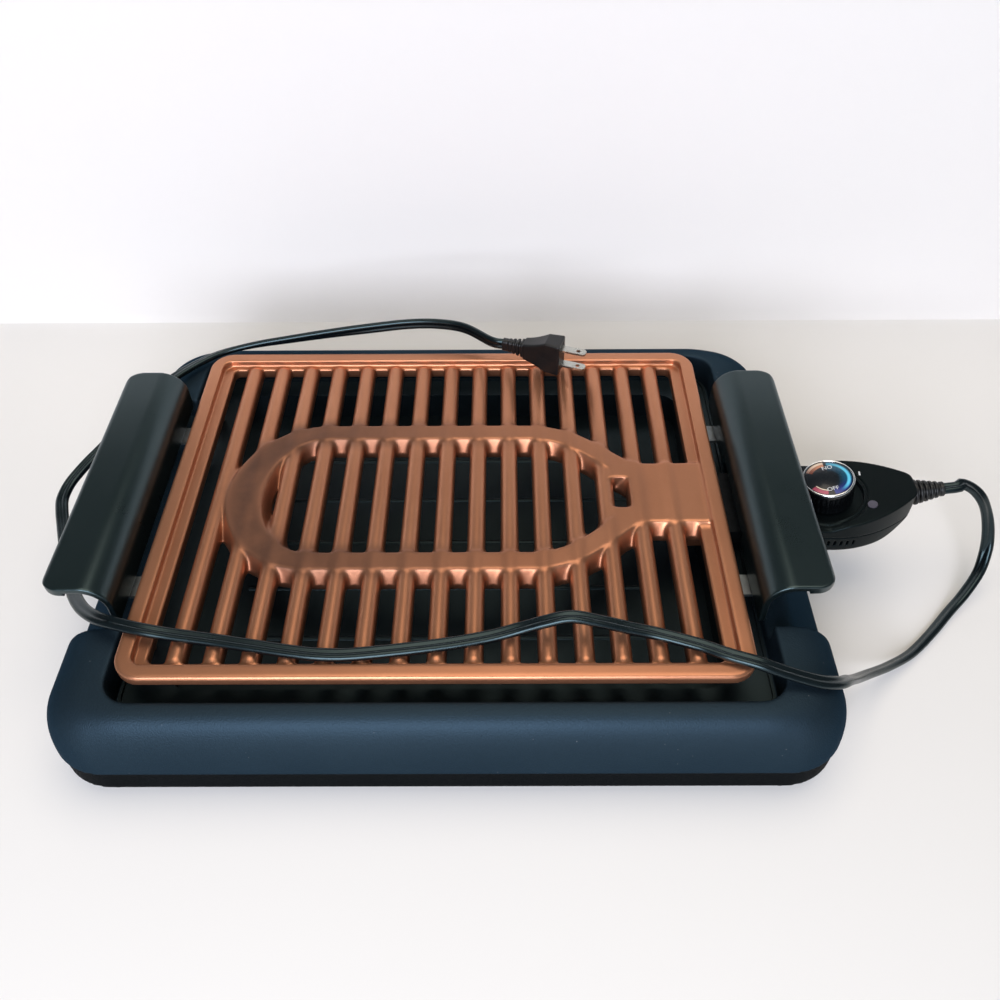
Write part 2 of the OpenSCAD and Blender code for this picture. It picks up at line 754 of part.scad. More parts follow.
module right_handle() {
    // the wall is cut away over the terminals
    w = control_w / 2 + 5;
    color("#22262b") at_plate() difference() {
        handle();
        box([handle_in - 5, -w, -reach / 2], [handle_in + handle_t + 1, w, top_flat + 4]);
    }
}

module left_handle() {
    color("#22262b") at_plate() mirror([1, 0, 0]) handle();
}

module handle_brackets() {
    x0 = boss_x - 6;
    x1 = column_x + 6;
    color("#a3a8aa") at_plate() for (sx = [0, 1], sy = [-1, 1]) mirror([sx, 0, 0])
        translate([(x0 + x1) / 2, sy * bracket_y, -boss_low - bracket_t]) difference() {
            linear_extrude(bracket_t) plan(x1 - x0, bracket_w, 4);
            for (x = [boss_x, column_x])
                translate([x - (x0 + x1) / 2, 0, -1]) cylinder(r = screw_r + fit_gap, h = 9);
        }
}

module bracket_screws() {
    z = -boss_low - bracket_t;
    color("#8d9194") at_plate() for (sx = [-1, 1], sy = [-1, 1], x = [boss_x, column_x])
        translate([sx * x, sy * bracket_y, z]) difference() {
            union() {
                cylinder(r = screw_r, h = bracket_t + 8);
                translate([0, 0, -2.4]) cylinder(r = head_r, h = 2.4);
            }
            box([-0.5, -4, -3], [0.5, 4, -1.3]);
            box([-4, -0.5, -3], [4, 0.5, -1.3]);
        }
}

// ---------------------------------------------------------------- control

// Plan of the control, drawn in by i: straight sides, then a tapering tail
module control_plan(i) {
    x0 = control_x0 + (i > 0 ? -1 : 0);
    x1 = control_x1 - i;
    x_tail = control_x0 + 56;
    w = control_w / 2 - i;
    tail = [for (k = [0:14]) let (u = k / 14)
        [x_tail + (x1 - x_tail) * u, control_tip + (w - control_tip) * (1 - u * u)]];
    polygon(concat([[x0, -w]], [for (p = tail) [p[0], -p[1]]],
        [for (k = [14:-1:0]) tail[k]], [[x0, w]]));
}

// Side view of the control, drawn in by i: level under the handle, then leaning up
module control_side(i) {
    x0 = control_x0 + (i > 0 ? -1 : 0);
    x1 = control_x1 - i;
    rise = tan(lean);
    x_lean = dial_x + (top_flat - dial_z) / rise;
    x_top = x1 - 4;
    polygon([[x0, -control_low + i], [x1 - 16, -control_low + i], [x1, -16 + i],
        [x1, dial_z + (x_top - dial_x) * rise - i - 4],
        [x_top, dial_z + (x_top - dial_x) * rise - i],
        [x_lean, top_flat - i], [x0, top_flat - i]]);
}

module control_form(i) {
    intersection() {
        translate([0, 0, -reach / 2]) linear_extrude(reach) control_plan(i);
        slab_y(control_w + 2) control_side(i);
    }
}

module screw_columns(r, z0, z1) {
    for (p = screw_at) translate([p[0], p[1], z0]) cylinder(r = r, h = z1 - z0);
}

module control_top() {
    color("#1b1d20") at_plate() difference() {
        intersection() {
            union() {
                difference() {
                    control_form(0);
                    difference() {
                        control_form(shell_t);
                        in_dial_frame() translate([0, 0, -recess_h - shell_t])
                            cylinder(r = recess_r + shell_t, h = 30);
                        in_dial_frame() translate([lamp_at[0], lamp_at[1], -4])
                            cylinder(r = lamp_r + 1.5, h = 10);
                    }
                }
                intersection() {
                    control_form(shell_t / 2);
                    screw_columns(3.4, split_z, 10);
                }
            }
            box([0, -reach / 2, split_z], [reach, reach / 2, reach / 2]);
        }
        in_dial_frame() {
            translate([0, 0, -recess_h]) cylinder(r = recess_r, h = 30);
            translate([0, 0, -12]) cylinder(r = spindle_r + 0.4, h = 30);
            translate([lamp_at[0], lamp_at[1], -12]) cylinder(r = lamp_r + 0.05, h = 30);
        }
        screw_columns(1.6, split_z - 1, split_z + 4.5);
        relief_hole();
    }
}

module relief_hole() {
    translate([relief_x, 0, relief_z]) rotate([0, -lean, 0])
        rod_x(relief_neck_r + 0.2, -12, 12);
}

module control_bottom() {
    head_z = -control_low + 2.4;
    color("#181a1d") at_plate() difference() {
        intersection() {
            union() {
                difference() {
                    control_form(0);
                    control_form(shell_t);
                }
                intersection() {
                    control_form(shell_t / 2);
                    screw_columns(4.6, -control_low, split_z);
                }
            }
            box([0, -reach / 2, -reach / 2], [reach, reach / 2, split_z]);
        }
        screw_columns(1.6, -control_low - 1, 0);
        screw_columns(3.3, -control_low - 1, head_z);
        relief_hole();
        // air slots low on the front side
        for (k = [0:5]) box([control_x0 + 46 + 4 * k, -control_w, -control_low + 5],
            [control_x0 + 47.6 + 4 * k, -control_w / 2 + 2.6 + 0.12 * k * k, -control_low + 9]);
    }
}

module housing_screws() {
    head_z = -control_low + 2.4;
    color("#8d9194") at_plate() for (p = screw_at) translate([p[0], p[1], 0])
        difference() {
            union() {
                translate([0, 0, head_z]) cylinder(r = 1.5, h = split_z + 4 - head_z);
                translate([0, 0, head_z - 2]) cylinder(r = 3, h = 2);
            }
            box([-0.4, -4, head_z - 3], [0.4, 4, head_z - 1.1]);
            box([-4, -0.4, head_z - 3], [4, 0.4, head_z - 1.1]);
        }
}

module contact_carrier() {
    w = control_w / 2 - shell_t - fit_gap;
    x = control_x0 + mouth;
    color("#4a3a2c") at_plate() difference() {
        box([x, -w, -control_low + shell_t + fit_gap], [x + carrier_t, w, top_flat - shell_t - fit_gap]);
        translate([0, 0, -socket_z]) {
            rod_x(probe_d / 2 + 0.05, x - 1, x + carrier_t + 1);
            for (s = [-1, 1]) translate([0, s * pin_y, 0])
                rod_x(sleeve_r + 0.05, x - 1, x + carrier_t + 1);
        }
    }
}

module contact_sleeves() {
    x = control_x0 + mouth;
    color("#b08d46") at_plate() for (s = [-1, 1])
        translate([0, s * pin_y, -socket_z]) difference() {
            union() {
                rod_x(sleeve_r, x - 10, x + 10);
                rod_x(sleeve_r + 0.8, x + carrier_t, x + carrier_t + 1);
            }
            rod_x(pin_d / 2 + 0.15, x - 11, x + 6);
            box([x - 11, -0.4, -5], [x - 1, 0.4, 5]);
        }
}

module sensor_probe() {
    x = control_x0 + mouth;
    r = probe_d / 2;
    color("#a9acac") at_plate() translate([0, 0, -socket_z]) {
        translate([probe_tip + r, 0, 0]) sphere(r);
        rod_x(r, probe_tip + r, x + 8);
        rod_x(r + 1.2, x + carrier_t, x + carrier_t + 2);
    }
}

module thermostat_bracket() {
    z = -recess_h - shell_t;
    color("#a3a8aa") at_dial() difference() {
        union() {
            translate([0, 0, z - 4]) linear_extrude(1.2) plan(28, 14, 3);
            for (s = [-1, 1]) translate([s * 11, 0, z - 3]) cylinder(r = 1.8, h = 3);
        }
        translate([0, 0, z - 5]) cylinder(r = spindle_r + 0.05, h = 4);
    }
}

module dial_spindle() {
    color("#b08d46") at_dial() {
        translate([0, 0, spindle_low + 1]) cylinder(r = spindle_r, h = spindle_top - spindle_low - 1);
        translate([0, 0, spindle_low]) cylinder(r1 = 1, r2 = spindle_r, h = 1 + eps);
    }
}

module contact_springs() {
    color("#c09a5a") at_dial() for (z = [-12.8, -15.4])
        translate([-8, -4, z]) cube([26, 8, 0.5]);
}

module switch_insulator() {
    color("#e0dccf") at_dial() {
        translate([12, -5, -12.3]) cube([7, 10, 3.3]);
        translate([12, -5, -14.9]) cube([7, 10, 2.1]);
        translate([12, -5, -17.2]) cube([7, 10, 1.8]);
    }
}

module lamp_lens() {
    color("#d9a066") at_dial() translate([lamp_at[0], lamp_at[1], 0]) {
        translate([0, 0, -4]) cylinder(r = lamp_r, h = 4.3);
    }
}

module lamp_bulb() {
    color("#e8c090") at_dial() translate([lamp_at[0], lamp_at[1], 0]) {
        translate([0, 0, -12]) cylinder(r = 2.2, h = 5.6);
        translate([0, 0, -6.4]) sphere(2.2);
    }
}

// Two insulated wires from the cord's end to the contacts. A row of wire_run is a share of the
// way to the relief, of half the pins' pitch and of the socket's depth.
module lead_wires() {
    x0 = control_x0 + mouth + 10;
    way = relief_x - 6.5 - x0;
    color("#7d2f28") at_plate() for (s = [-1, 1]) {
        route = [for (r = wire_run)
            [x0 + way * r[0], s * pin_y * r[1], -socket_z * r[2], 0]];
        sweep(route, 0, len(route) - 1, wire_d, wire_d, 8);
    }
}

// Ribbed strain relief, clamped by its collar inside the control
module strain_relief() {
    n = 5;
    r0 = 8.2;
    out = 4.3;
    pitch = (relief_l - out - 3) / n;
    color("#15171a") at_relief() rotate([0, 90, 0]) {
        translate([0, 0, -4]) cylinder(r = relief_neck_r + 1.1, h = 2);
        translate([0, 0, -2.1]) cylinder(r = relief_neck_r, h = out + 2.2);
        translate([0, 0, out]) cylinder(r1 = 5.6, r2 = relief_tip_r - 0.6, h = relief_l - out);
        for (k = [0:n - 1])
            translate([0, 0, out + k * pitch])
                cylinder(r = r0 - k * (r0 - relief_tip_r) / n, h = pitch * 0.55);
        translate([0, 0, relief_l - 2.5]) cylinder(r = relief_tip_r, h = 2.5);
    }
}

// ---------------------------------------------------------------- dial

module dial_knob() {
    z0 = -recess_h + knob_gap;
    flutes = 30;
    color("#121417") at_dial() difference() {
        union() {
            translate([0, 0, z0]) cylinder(r = knob_r, h = knob_h - 1.7 - z0);
            translate([0, 0, knob_h - 1.7]) cylinder(r = knob_r - bezel_w - fit_gap, h = 0.7);
        }
        translate([0, 0, z0 - 1])
            cylinder(r = spindle_r + 0.02, h = spindle_top + 0.3 - z0 + 1);
        for (k = [0:flutes - 1]) rotate([0, 0, 360 * k / flutes])
            translate([knob_r + 0.5, 0, z0 - 1]) cylinder(r = 1, h = knob_h - 4 - z0);
    }
}

module dial_ring() {
    color("#c9cdd0") at_dial() difference() {
        translate([0, 0, knob_h - 1.7]) cylinder(r = knob_r, h = 1.7);
        translate([0, 0, knob_h - 3]) cylinder(r = knob_r - bezel_w, h = 4);
    }
}

module dial_face() {
    color("#16181c") at_dial()
        translate([0, 0, knob_h - 1]) cylinder(r = knob_r - bezel_w - fit_gap, h = 0.5);
}

// ---------------------------------------------------------------- cord and plug

cord_route = concat([[each relief_tip, 0], [each (relief_tip + 9 * relief_dir), 0]],
    cord_free, [[each (plug_end - 9 * plug_dir), 90], [each plug_end, 90]]);

module cord_lead() {
    color("#14171a") at_plate() sweep(cord_route, 0, cord_joint, cord_w, cord_t, 12);
}

module cord_run() {
    color("#14171a") at_plate()
        sweep(cord_route, cord_joint, len(cord_route) - 1, cord_w, cord_t, 12);
}

// Plug body: it narrows to the cord, and its ribbed tail bends with it
module plug_body() {
    h = 12.5;
    color("#17191c") at_plug() difference() {
        union() {
            intersection() {
                slab_y(30) polygon([[0, -h], [0, h], [-6, h], [-13, h - 3], [-plug_l, 7],
                    [-plug_l, -7], [-13, -h + 3], [-6, -h]]);
                translate([0, 0, -20]) linear_extrude(40)
                    polygon([[0, -8], [0, 8], [-5, 8], [-plug_l, 5], [-plug_l, -5], [-5, -8]]);
            }
            for (k = [0:4])
                box([-plug_l - 3.2 * k - 2, -4.6 + 0.3 * k, -6.4 + 0.4 * k],
                    [-plug_l - 3.2 * k, 4.6 - 0.3 * k, 6.4 - 0.4 * k]);
            box([-plug_l - plug_tail, -2.8, -4.4], [-plug_l + 1, 2.8, 4.4]);
        }
        for (s = [-1, 1]) box([-3, -3.15, s * 6.35 - 0.75], [1, 3.15, s * 6.35 + 0.75]);
    }
}

module plug_blades() {
    color("#c8c6be") at_plug() for (s = [-1, 1])
        translate([0, 0, s * 6.35 - 0.75]) linear_extrude(1.5) difference() {
            polygon([[-3, -3.15], [16, -3.15], [17.5, -1.6], [17.5, 1.6], [16, 3.15],
                [-3, 3.15]]);
            translate([12, 0]) circle(1.5);
        }
}

base_shell();
rubber_feet();
drip_tray();
grill_plate();
heating_element();
terminal_pins();
pin_insulators();
terminal_guard();
guard_screws();
left_handle();
right_handle();
handle_brackets();
bracket_screws();
control_top();
control_bottom();
housing_screws();
contact_carrier();
contact_sleeves();
sensor_probe();
thermostat_bracket();
contact_springs();
switch_insulator();
lamp_bulb();
lamp_lens();
lead_wires();
strain_relief();
dial_knob();
dial_ring();
dial_face();
dial_spindle();
cord_lead();
cord_run();
plug_body();
plug_blades();
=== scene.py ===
"""Electric indoor grill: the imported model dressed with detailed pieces, finishes and a stage."""

import json
import math
from types import SimpleNamespace

import bmesh
import bpy
from mathutils import Matrix, Vector


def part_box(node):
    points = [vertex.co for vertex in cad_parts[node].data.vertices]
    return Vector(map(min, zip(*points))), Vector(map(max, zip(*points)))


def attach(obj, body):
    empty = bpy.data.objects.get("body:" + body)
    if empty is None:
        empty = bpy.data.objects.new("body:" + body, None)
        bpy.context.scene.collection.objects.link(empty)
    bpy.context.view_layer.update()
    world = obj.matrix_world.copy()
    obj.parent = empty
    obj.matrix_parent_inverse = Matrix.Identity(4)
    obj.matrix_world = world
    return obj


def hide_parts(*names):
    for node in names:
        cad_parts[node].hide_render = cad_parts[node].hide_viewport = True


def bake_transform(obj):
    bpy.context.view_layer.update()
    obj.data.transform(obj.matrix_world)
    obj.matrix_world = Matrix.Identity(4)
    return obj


bl_info = {
    "name": "Electric indoor grill",
    "version": (1, 0, 0),
    "blender": (4, 5, 0),
    "location": "View3D > Sidebar > Grill",
    "description": "Dresses an electric indoor grill with detailed pieces, finishes and a stage",
    "category": "Object",
}

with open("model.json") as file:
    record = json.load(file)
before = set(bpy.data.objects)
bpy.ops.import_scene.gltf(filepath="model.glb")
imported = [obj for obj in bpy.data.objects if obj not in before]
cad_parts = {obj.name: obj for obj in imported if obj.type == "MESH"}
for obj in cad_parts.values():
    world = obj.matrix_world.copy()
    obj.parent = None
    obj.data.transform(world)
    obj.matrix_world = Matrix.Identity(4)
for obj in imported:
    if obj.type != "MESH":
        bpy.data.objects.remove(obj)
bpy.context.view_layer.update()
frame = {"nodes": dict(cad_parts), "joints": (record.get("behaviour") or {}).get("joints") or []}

MM = 0.001


def span(node):
    """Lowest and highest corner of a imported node, in millimetres."""
    return [Vector(corner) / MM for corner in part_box(node)]


# Places shared by the pieces, in millimetres, read from the frame.
plate_low, plate_high = span("grill_plate")
base_low, base_high = span("base_shell")
dial_joint = next(j for j in frame["joints"] if j["name"] == "knob_turn")
PLATE = Vector(((plate_low.x + plate_high.x) / 2, 0, plate_high.z))
BASE = Vector(((base_low.x + base_high.x) / 2, 0, 0))
DIAL = Vector(dial_joint["pos_m"]) / MM
LEAN = math.atan2(-dial_joint["axis"][0], dial_joint["axis"][2])
BRACKET_Y = 66.5  # from the plate's middle line to the two screws of each handle


# ---------------------------------------------------------------- small helpers


def linear(code, alpha=1.0):
    """A colour written as sRGB hex, such as "#aa6e50", as linear numbers."""
    parts = [int(code[i : i + 2], 16) / 255 for i in (1, 3, 5)]
    return (*[c / 12.92 if c <= 0.04045 else ((c + 0.055) / 1.055) ** 2.4 for c in parts], alpha)


def feed(node, inputs):
    """Gives a node's inputs their values; each is a number, a colour, a socket or a Field."""
    for key, value in inputs.items():
        if isinstance(value, Field):
            value = value.socket
        if isinstance(value, bpy.types.NodeSocket):
            node.id_data.links.new(value, node.inputs[key])
        else:
            node.inputs[key].default_value = value
    return node


def add(tree, kind, inputs=None, **settings):
    """Adds a node with its settings and inputs."""
    node = tree.nodes.new(kind)
    for name, value in settings.items():
        setattr(node, name, value)
    return feed(node, inputs or {})


def two_sided(operation):
    """A method that makes a Field from its own number and another."""
    return lambda self, other: self.made(operation, other)


class Field:
    """A number at every point of space, kept in a node tree and written as a formula."""

    def __init__(self, tree, socket):
        self.tree = tree
        self.socket = socket

    def made(self, operation, *others):
        """The number that a Math node makes of this one and others."""
        values = dict(enumerate((self, *others)))
        node = add(self.tree, "ShaderNodeMath", values, operation=operation)
        return Field(self.tree, node.outputs[0])

    __add__ = __radd__ = two_sided("ADD")
    __sub__ = two_sided("SUBTRACT")
    __mul__ = __rmul__ = two_sided("MULTIPLY")
    __truediv__ = two_sided("DIVIDE")
    __pow__ = two_sided("POWER")
    at_least = two_sided("MAXIMUM")
    at_most = two_sided("MINIMUM")

    def __neg__(self):
        return self.made("MULTIPLY", -1.0)

    def __abs__(self):
        return self.made("ABSOLUTE")

    def __rsub__(self, other):
        return -self + other

    def share(self):
        """The number held between 0 and 1."""
        return self.at_least(0).at_most(1)


def join(a, b, fillet=0.0):
    """The distance to two shapes as one, with a fillet where they meet."""
    return a.made("SMOOTH_MIN", b, fillet) if fillet else a.at_most(b)


def common(a, b, round_over=0.0):
    """The distance to what two shapes share, with its edge rounded over."""
    return a.made("SMOOTH_MAX", b, round_over) if round_over else a.at_least(b)


def cut(a, b, round_over=0.0):
    """The distance to a shape with another cut out of it."""
    return common(a, -b, round_over)


def distance(x, y, z=0.0):
    """Length of the line from the origin to a point."""
    point = add(x.tree, "ShaderNodeCombineXYZ", {0: x, 1: y, 2: z})
    length = add(x.tree, "ShaderNodeVectorMath", {0: point.outputs[0]}, operation="LENGTH")
    return Field(x.tree, length.outputs["Value"])


def rectangle(x, y, half_x, half_y, radius):
    """Distance to a rounded rectangle about the origin."""
    return corner(abs(x) - (half_x - radius), abs(y) - (half_y - radius), radius)


def corner(u, v, radius):
    """Distance to a quarter plane with a rounded corner, its faces a radius from the origin."""
    return distance(u.at_least(0), v.at_least(0)) + u.at_least(v).at_most(0) - radius


def ellipse(u, v, a, b):
    """Distance to an ellipse about the origin, exact at its outline."""
    ring = distance(u / a, v / b)
    slope = distance(u / (a * a), v / (b * b))
    return ring * (ring - 1.0) / slope.at_least(1e-6)


def between(z, low, high):
    """Distance to the layer from low to high."""
    return abs(z - (low + high) * 0.5) - (high - low) * 0.5


def new_tree(name, sizes):
    """A node tree whose named inputs are sizes in millimetres, and the Fields that read them."""
    tree = bpy.data.node_groups.new(name, "GeometryNodeTree")
    for size, value in sizes.items():
        socket = tree.interface.new_socket(size, in_out="INPUT", socket_type="NodeSocketFloat")
        socket.default_value = value
    tree.interface.new_socket("Finish", in_out="INPUT", socket_type="NodeSocketMaterial")
    tree.interface.new_socket("Geometry", in_out="OUTPUT", socket_type="NodeSocketGeometry")
    group = add(tree, "NodeGroupInput")
    fields = SimpleNamespace()
    for size in sizes:
        setattr(fields, size.lower().replace(" ", "_"), Field(tree, group.outputs[size]))
    return tree, fields, group.outputs["Finish"]


def space(tree, here=None):
    """The three coordinates of a point as Fields; in a shape's tree the point is left out."""
    if here is None:
        here = add(tree, "GeometryNodeInputPosition").outputs[0]
    parts = add(tree, "ShaderNodeSeparateXYZ", {0: here})
    return [Field(tree, parts.outputs[i]) for i in range(3)]


def reach(sizes, low, high):
    """Two corners of the space round a shape of a given length and depth, between two heights."""
    x, y = sizes["Length"] / 2 + 2, sizes["Depth"] / 2 + 2
    return (-x, -y, low), (x, y, high)


def finish_tree(tree, solid, low, high, step, place, finish):
    """Ends a tree: a smooth mesh from the distance field, in its place in metres and finish."""
    # Voxels are solid above one half, and grade from outside to inside over four steps.
    density = (0.5 - solid / (4 * step)).share()
    counts = [max(4, round((b - a) / step)) for a, b in zip(low, high)]
    inputs = {
        "Density": density,
        "Background": 0.0,
        "Min": low,
        "Max": high,
        "Resolution X": counts[0],
        "Resolution Y": counts[1],
        "Resolution Z": counts[2],
    }
    volume = add(tree, "GeometryNodeVolumeCube", inputs).outputs[0]
    mesh = add(tree, "GeometryNodeVolumeToMesh", {"Volume": volume, "Threshold": 0.5}).outputs[0]
    inputs = {"Geometry": mesh, "Translation": place * MM, "Scale": (MM, MM, MM)}
    moved = add(tree, "GeometryNodeTransform", inputs).outputs[0]
    smooth = add(tree, "GeometryNodeSetShadeSmooth", {"Geometry": moved}).outputs[0]
    real = add(tree, "GeometryNodeRealizeInstances", {"Geometry": smooth}).outputs[0]
    done = add(tree, "GeometryNodeSetMaterial", {"Geometry": real, "Material": finish}).outputs[0]
    add(tree, "NodeGroupOutput", {"Geometry": done})
    return tree


def baked(obj):
    """Applies an object's modifiers and drops them."""
    depsgraph = bpy.context.evaluated_depsgraph_get()
    mesh = bpy.data.meshes.new_from_object(obj.evaluated_get(depsgraph))
    mesh.name = obj.name
    obj.modifiers.clear()
    obj.data = mesh
    return obj


def empty_mesh(name):
    obj = bpy.data.objects.new(name, bpy.data.meshes.new(name))
    bpy.context.scene.collection.objects.link(obj)
    return obj


def grown(name, tree, sizes, material, most_faces=0):
    """An object made by a tree with its named inputs set, thinned to most_faces if it has more."""
    obj = empty_mesh(name)
    modifier = obj.modifiers.new("Shape", "NODES")
    modifier.node_group = tree
    for item in tree.interface.items_tree:
        if item.in_out == "INPUT":
            modifier[item.identifier] = material if item.name == "Finish" else sizes[item.name]
    baked(obj)
    triangles = sum(len(p.vertices) - 2 for p in obj.data.polygons)
    if most_faces and triangles > most_faces:
        obj.modifiers.new("Thin", "DECIMATE").ratio = most_faces / triangles
        baked(obj)
    if material.name not in [m.name for m in obj.data.materials if m]:
        obj.data.materials.append(material)
    return obj


def placed(piece, body, slot, *nodes):
    """Rides a finished piece on its body, in place of the nodes it stands for."""
    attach(piece, body)
    if nodes:
        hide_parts(*nodes)
    return piece


# ---------------------------------------------------------------- shapes grown from fields


def plate_tree(sizes, step):
    """The cast plate: rim, ledge, bars, element ring, pad and the lugs under it."""
    tree, s, finish = new_tree("Cast plate", sizes)
    x, y, z = space(tree)
    ax, ay = abs(x), abs(y)
    half_l, half_d = s.length * 0.5, s.depth * 0.5
    inner_l, inner_d = half_l - s.rim_width, half_d - s.rim_width
    inner_r = s.corner_radius - s.rim_width
    outside = rectangle(x, y, half_l, half_d, s.corner_radius)
    inside = rectangle(x, y, inner_l, inner_d, inner_r)
    window = rectangle(x, y, inner_l - s.ledge_side, inner_d - s.ledge_end, 4.0)
    low = -s.bar_underside

    # rim with its rolled edge, the skirt outside and the wall down to the ledge
    rim = common(outside, between(z, -s.rim_thickness, 0.0), s.edge_round)
    rim = cut(rim, inside, 1.2)
    skirt = common(cut(outside, outside + 2.5), between(z, -s.skirt, -1.5), 0.8)
    wall = common(cut(inside - 2.5, inside), between(z, low, -1.0), 0.6)
    ledge = common(cut(inside - 0.5, window, 0.8), between(z, low, -s.ledge_drop), 1.0)
    body = join(join(rim, skirt, 1.0), join(wall, ledge, 1.6), 1.2)

    # bars with half-round tops and domed ends
    half_bar = s.bar_width * 0.5
    last = (s.bar_count - 1.0) * 0.5
    number = (x / s.bar_pitch + last).made("ROUND").at_least(0).at_most(last * 2)
    across = x - (number - last) * s.bar_pitch
    over = (z + s.bar_drop + half_bar).at_least(0)
    beyond = (ay - (inner_d - 1.0 - half_bar)).at_least(0)
    bars = common(distance(across, over, beyond) - half_bar, low - z, 0.8)
    body = join(body, bars, 2.6)

    # element ring: two arms, a round left end and shoulders that run to the pad; its sides slope
    # out as they go down
    depth = (-z - s.ring_drop).at_least(0).at_most(9.0)
    slope = depth * s.ring_slope
    edge_x = x - (s.pad_start + 4.0)
    pad_end = half_l - s.rim_width + 2.0
    pad = common(between(x, s.pad_start, pad_end), ay - s.pad_depth * 0.5)
    ring = join(common(ring_outline(x, ay, s, 0.0), edge_x), pad, 3.0) - slope
    hole = common(ring_outline(x, ay, s, 1.0) + slope, x - s.pad_start, 2.0)
    # close to the pad the hole is only as tall as the slot between the last bar and the pad
    hole = cut(hole, common((s.pad_start - 12.0) - x, s.slot_half - ay), 2.0)
    ring = cut(ring, hole, 1.5)
    ring = common(ring, between(z, -s.ring_underside, -s.ring_drop), 1.8)
    body = join(body, ring, depth * 0.4 + 4.0)

    # terminal block and probe boss under the pad, legs and bracket lugs under the rim
    block = rectangle(x - (half_l - 12.5), y, 12.5, s.pad_depth * 0.5, 2.0)
    block = common(block, between(z, -s.socket - 9.0, -s.rim_thickness + 1), 1.0)
    boss = rectangle(x - (half_l - 36.5), y, 13.0, 8.0, 3.0)
    boss = common(boss, between(z, -s.socket - 6.0, -s.ring_drop - 2), 1.0)
    legs = distance(ax - (half_l - 5.0), ay - (half_d - 40.0)) - 4.0
    legs = common(legs, between(z, -30.4, -2.0), 0.8)
    lugs = distance(ax - (half_l - 7.0), ay - s.bracket_y) - 6.5
    lugs = common(lugs, between(z, -14.0, -s.ledge_drop - 0.8), 0.8)
    ties = rectangle(ax - (half_l - 5.0), ay - s.bracket_y, 3.5, 5.0, 1.0)
    ties = common(ties, between(z, -7.0, -2.0))
    body = join(join(body, join(block, boss, 2.0), 1.5), join(join(legs, lugs), ties), 1.0)

    # groove for the element, holes for the pins, the probe and the screws
    line = ring_outline(x, ay, s, 0.5)
    groove = common(abs(line) - s.groove_half, (s.pin_y - s.groove_half) - ay)
    run = common(abs(ay - s.pin_y) - s.groove_half, (s.pad_start + 1.0) - x)
    groove = common(join(groove, run), z + s.groove_top)
    groove = common(groove, x - (half_l - 11.0))
    probe = common(distance(y, z + s.socket) - s.probe_hole, (half_l - 41.0) - x)
    pins = common(distance(ay - s.pin_y, z + s.socket) - s.pin_hole, (half_l - 12.0) - x)
    body = cut(body, join(join(groove, probe), pins), 0.6)

    return finish_tree(tree, body, *reach(sizes, -33.0, 2.5), step, PLATE, finish)


def ring_outline(x, ay, s, share):
    """Distance to a line round the element ring: its outside at share 0, its middle at 0.5 and
    its hole at 1."""
    inset = s.ring_width * share
    left_inset = s.ring_left_width * share
    left = (x + s.arm_left).at_most(0)
    left = ellipse(left, ay, s.ring_left - s.arm_left - left_inset, s.ring_half - inset)
    # the shoulder's outline is the farthest of its tangents from level to the taper's slope
    reach_x = x - s.arm_right
    reach_y = ay - (s.ring_half - s.shoulder)
    angle = reach_x.made("ARCTAN2", reach_y).at_least(0).at_most(s.taper)
    right = reach_x * angle.made("SINE") + reach_y * angle.made("COSINE") - (s.shoulder - inset)
    return common(left, right)


PLATE_SIZES = {
    "Length": plate_high.x - plate_low.x,
    "Depth": plate_high.y - plate_low.y,
    "Corner radius": 16.0,
    "Rim width": 9.0,
    "Rim thickness": 4.0,
    "Edge round": 3.4,
    "Skirt": 7.0,
    "Ledge drop": 5.0,
    "Ledge side": 7.5,
    "Ledge end": 4.0,
    "Bar underside": 12.5,
    "Bar width": 11.0,
    "Bar pitch": 20.5,
    "Bar count": 15.0,
    "Bar drop": 2.5,
    "Ring half": 63.0,
    "Ring width": 13.0,
    "Ring left": 138.5,
    "Ring left width": 22.0,
    "Arm left": 80.0,
    "Arm right": 52.0,
    "Shoulder": 70.0,
    "Taper": math.radians(40),
    "Ring slope": 0.55,
    "Ring drop": 2.6,
    "Slot half": 13.0,
    "Ring underside": 16.0,
    "Pad start": 118.0,
    "Pad depth": 51.0,
    "Socket": 18.0,
    "Groove top": 8.7,
    "Groove half": 3.6,
    "Bracket y": BRACKET_Y,
    "Pin y": 12.5,
    "Pin hole": 3.9,
    "Probe hole": 3.2,
}


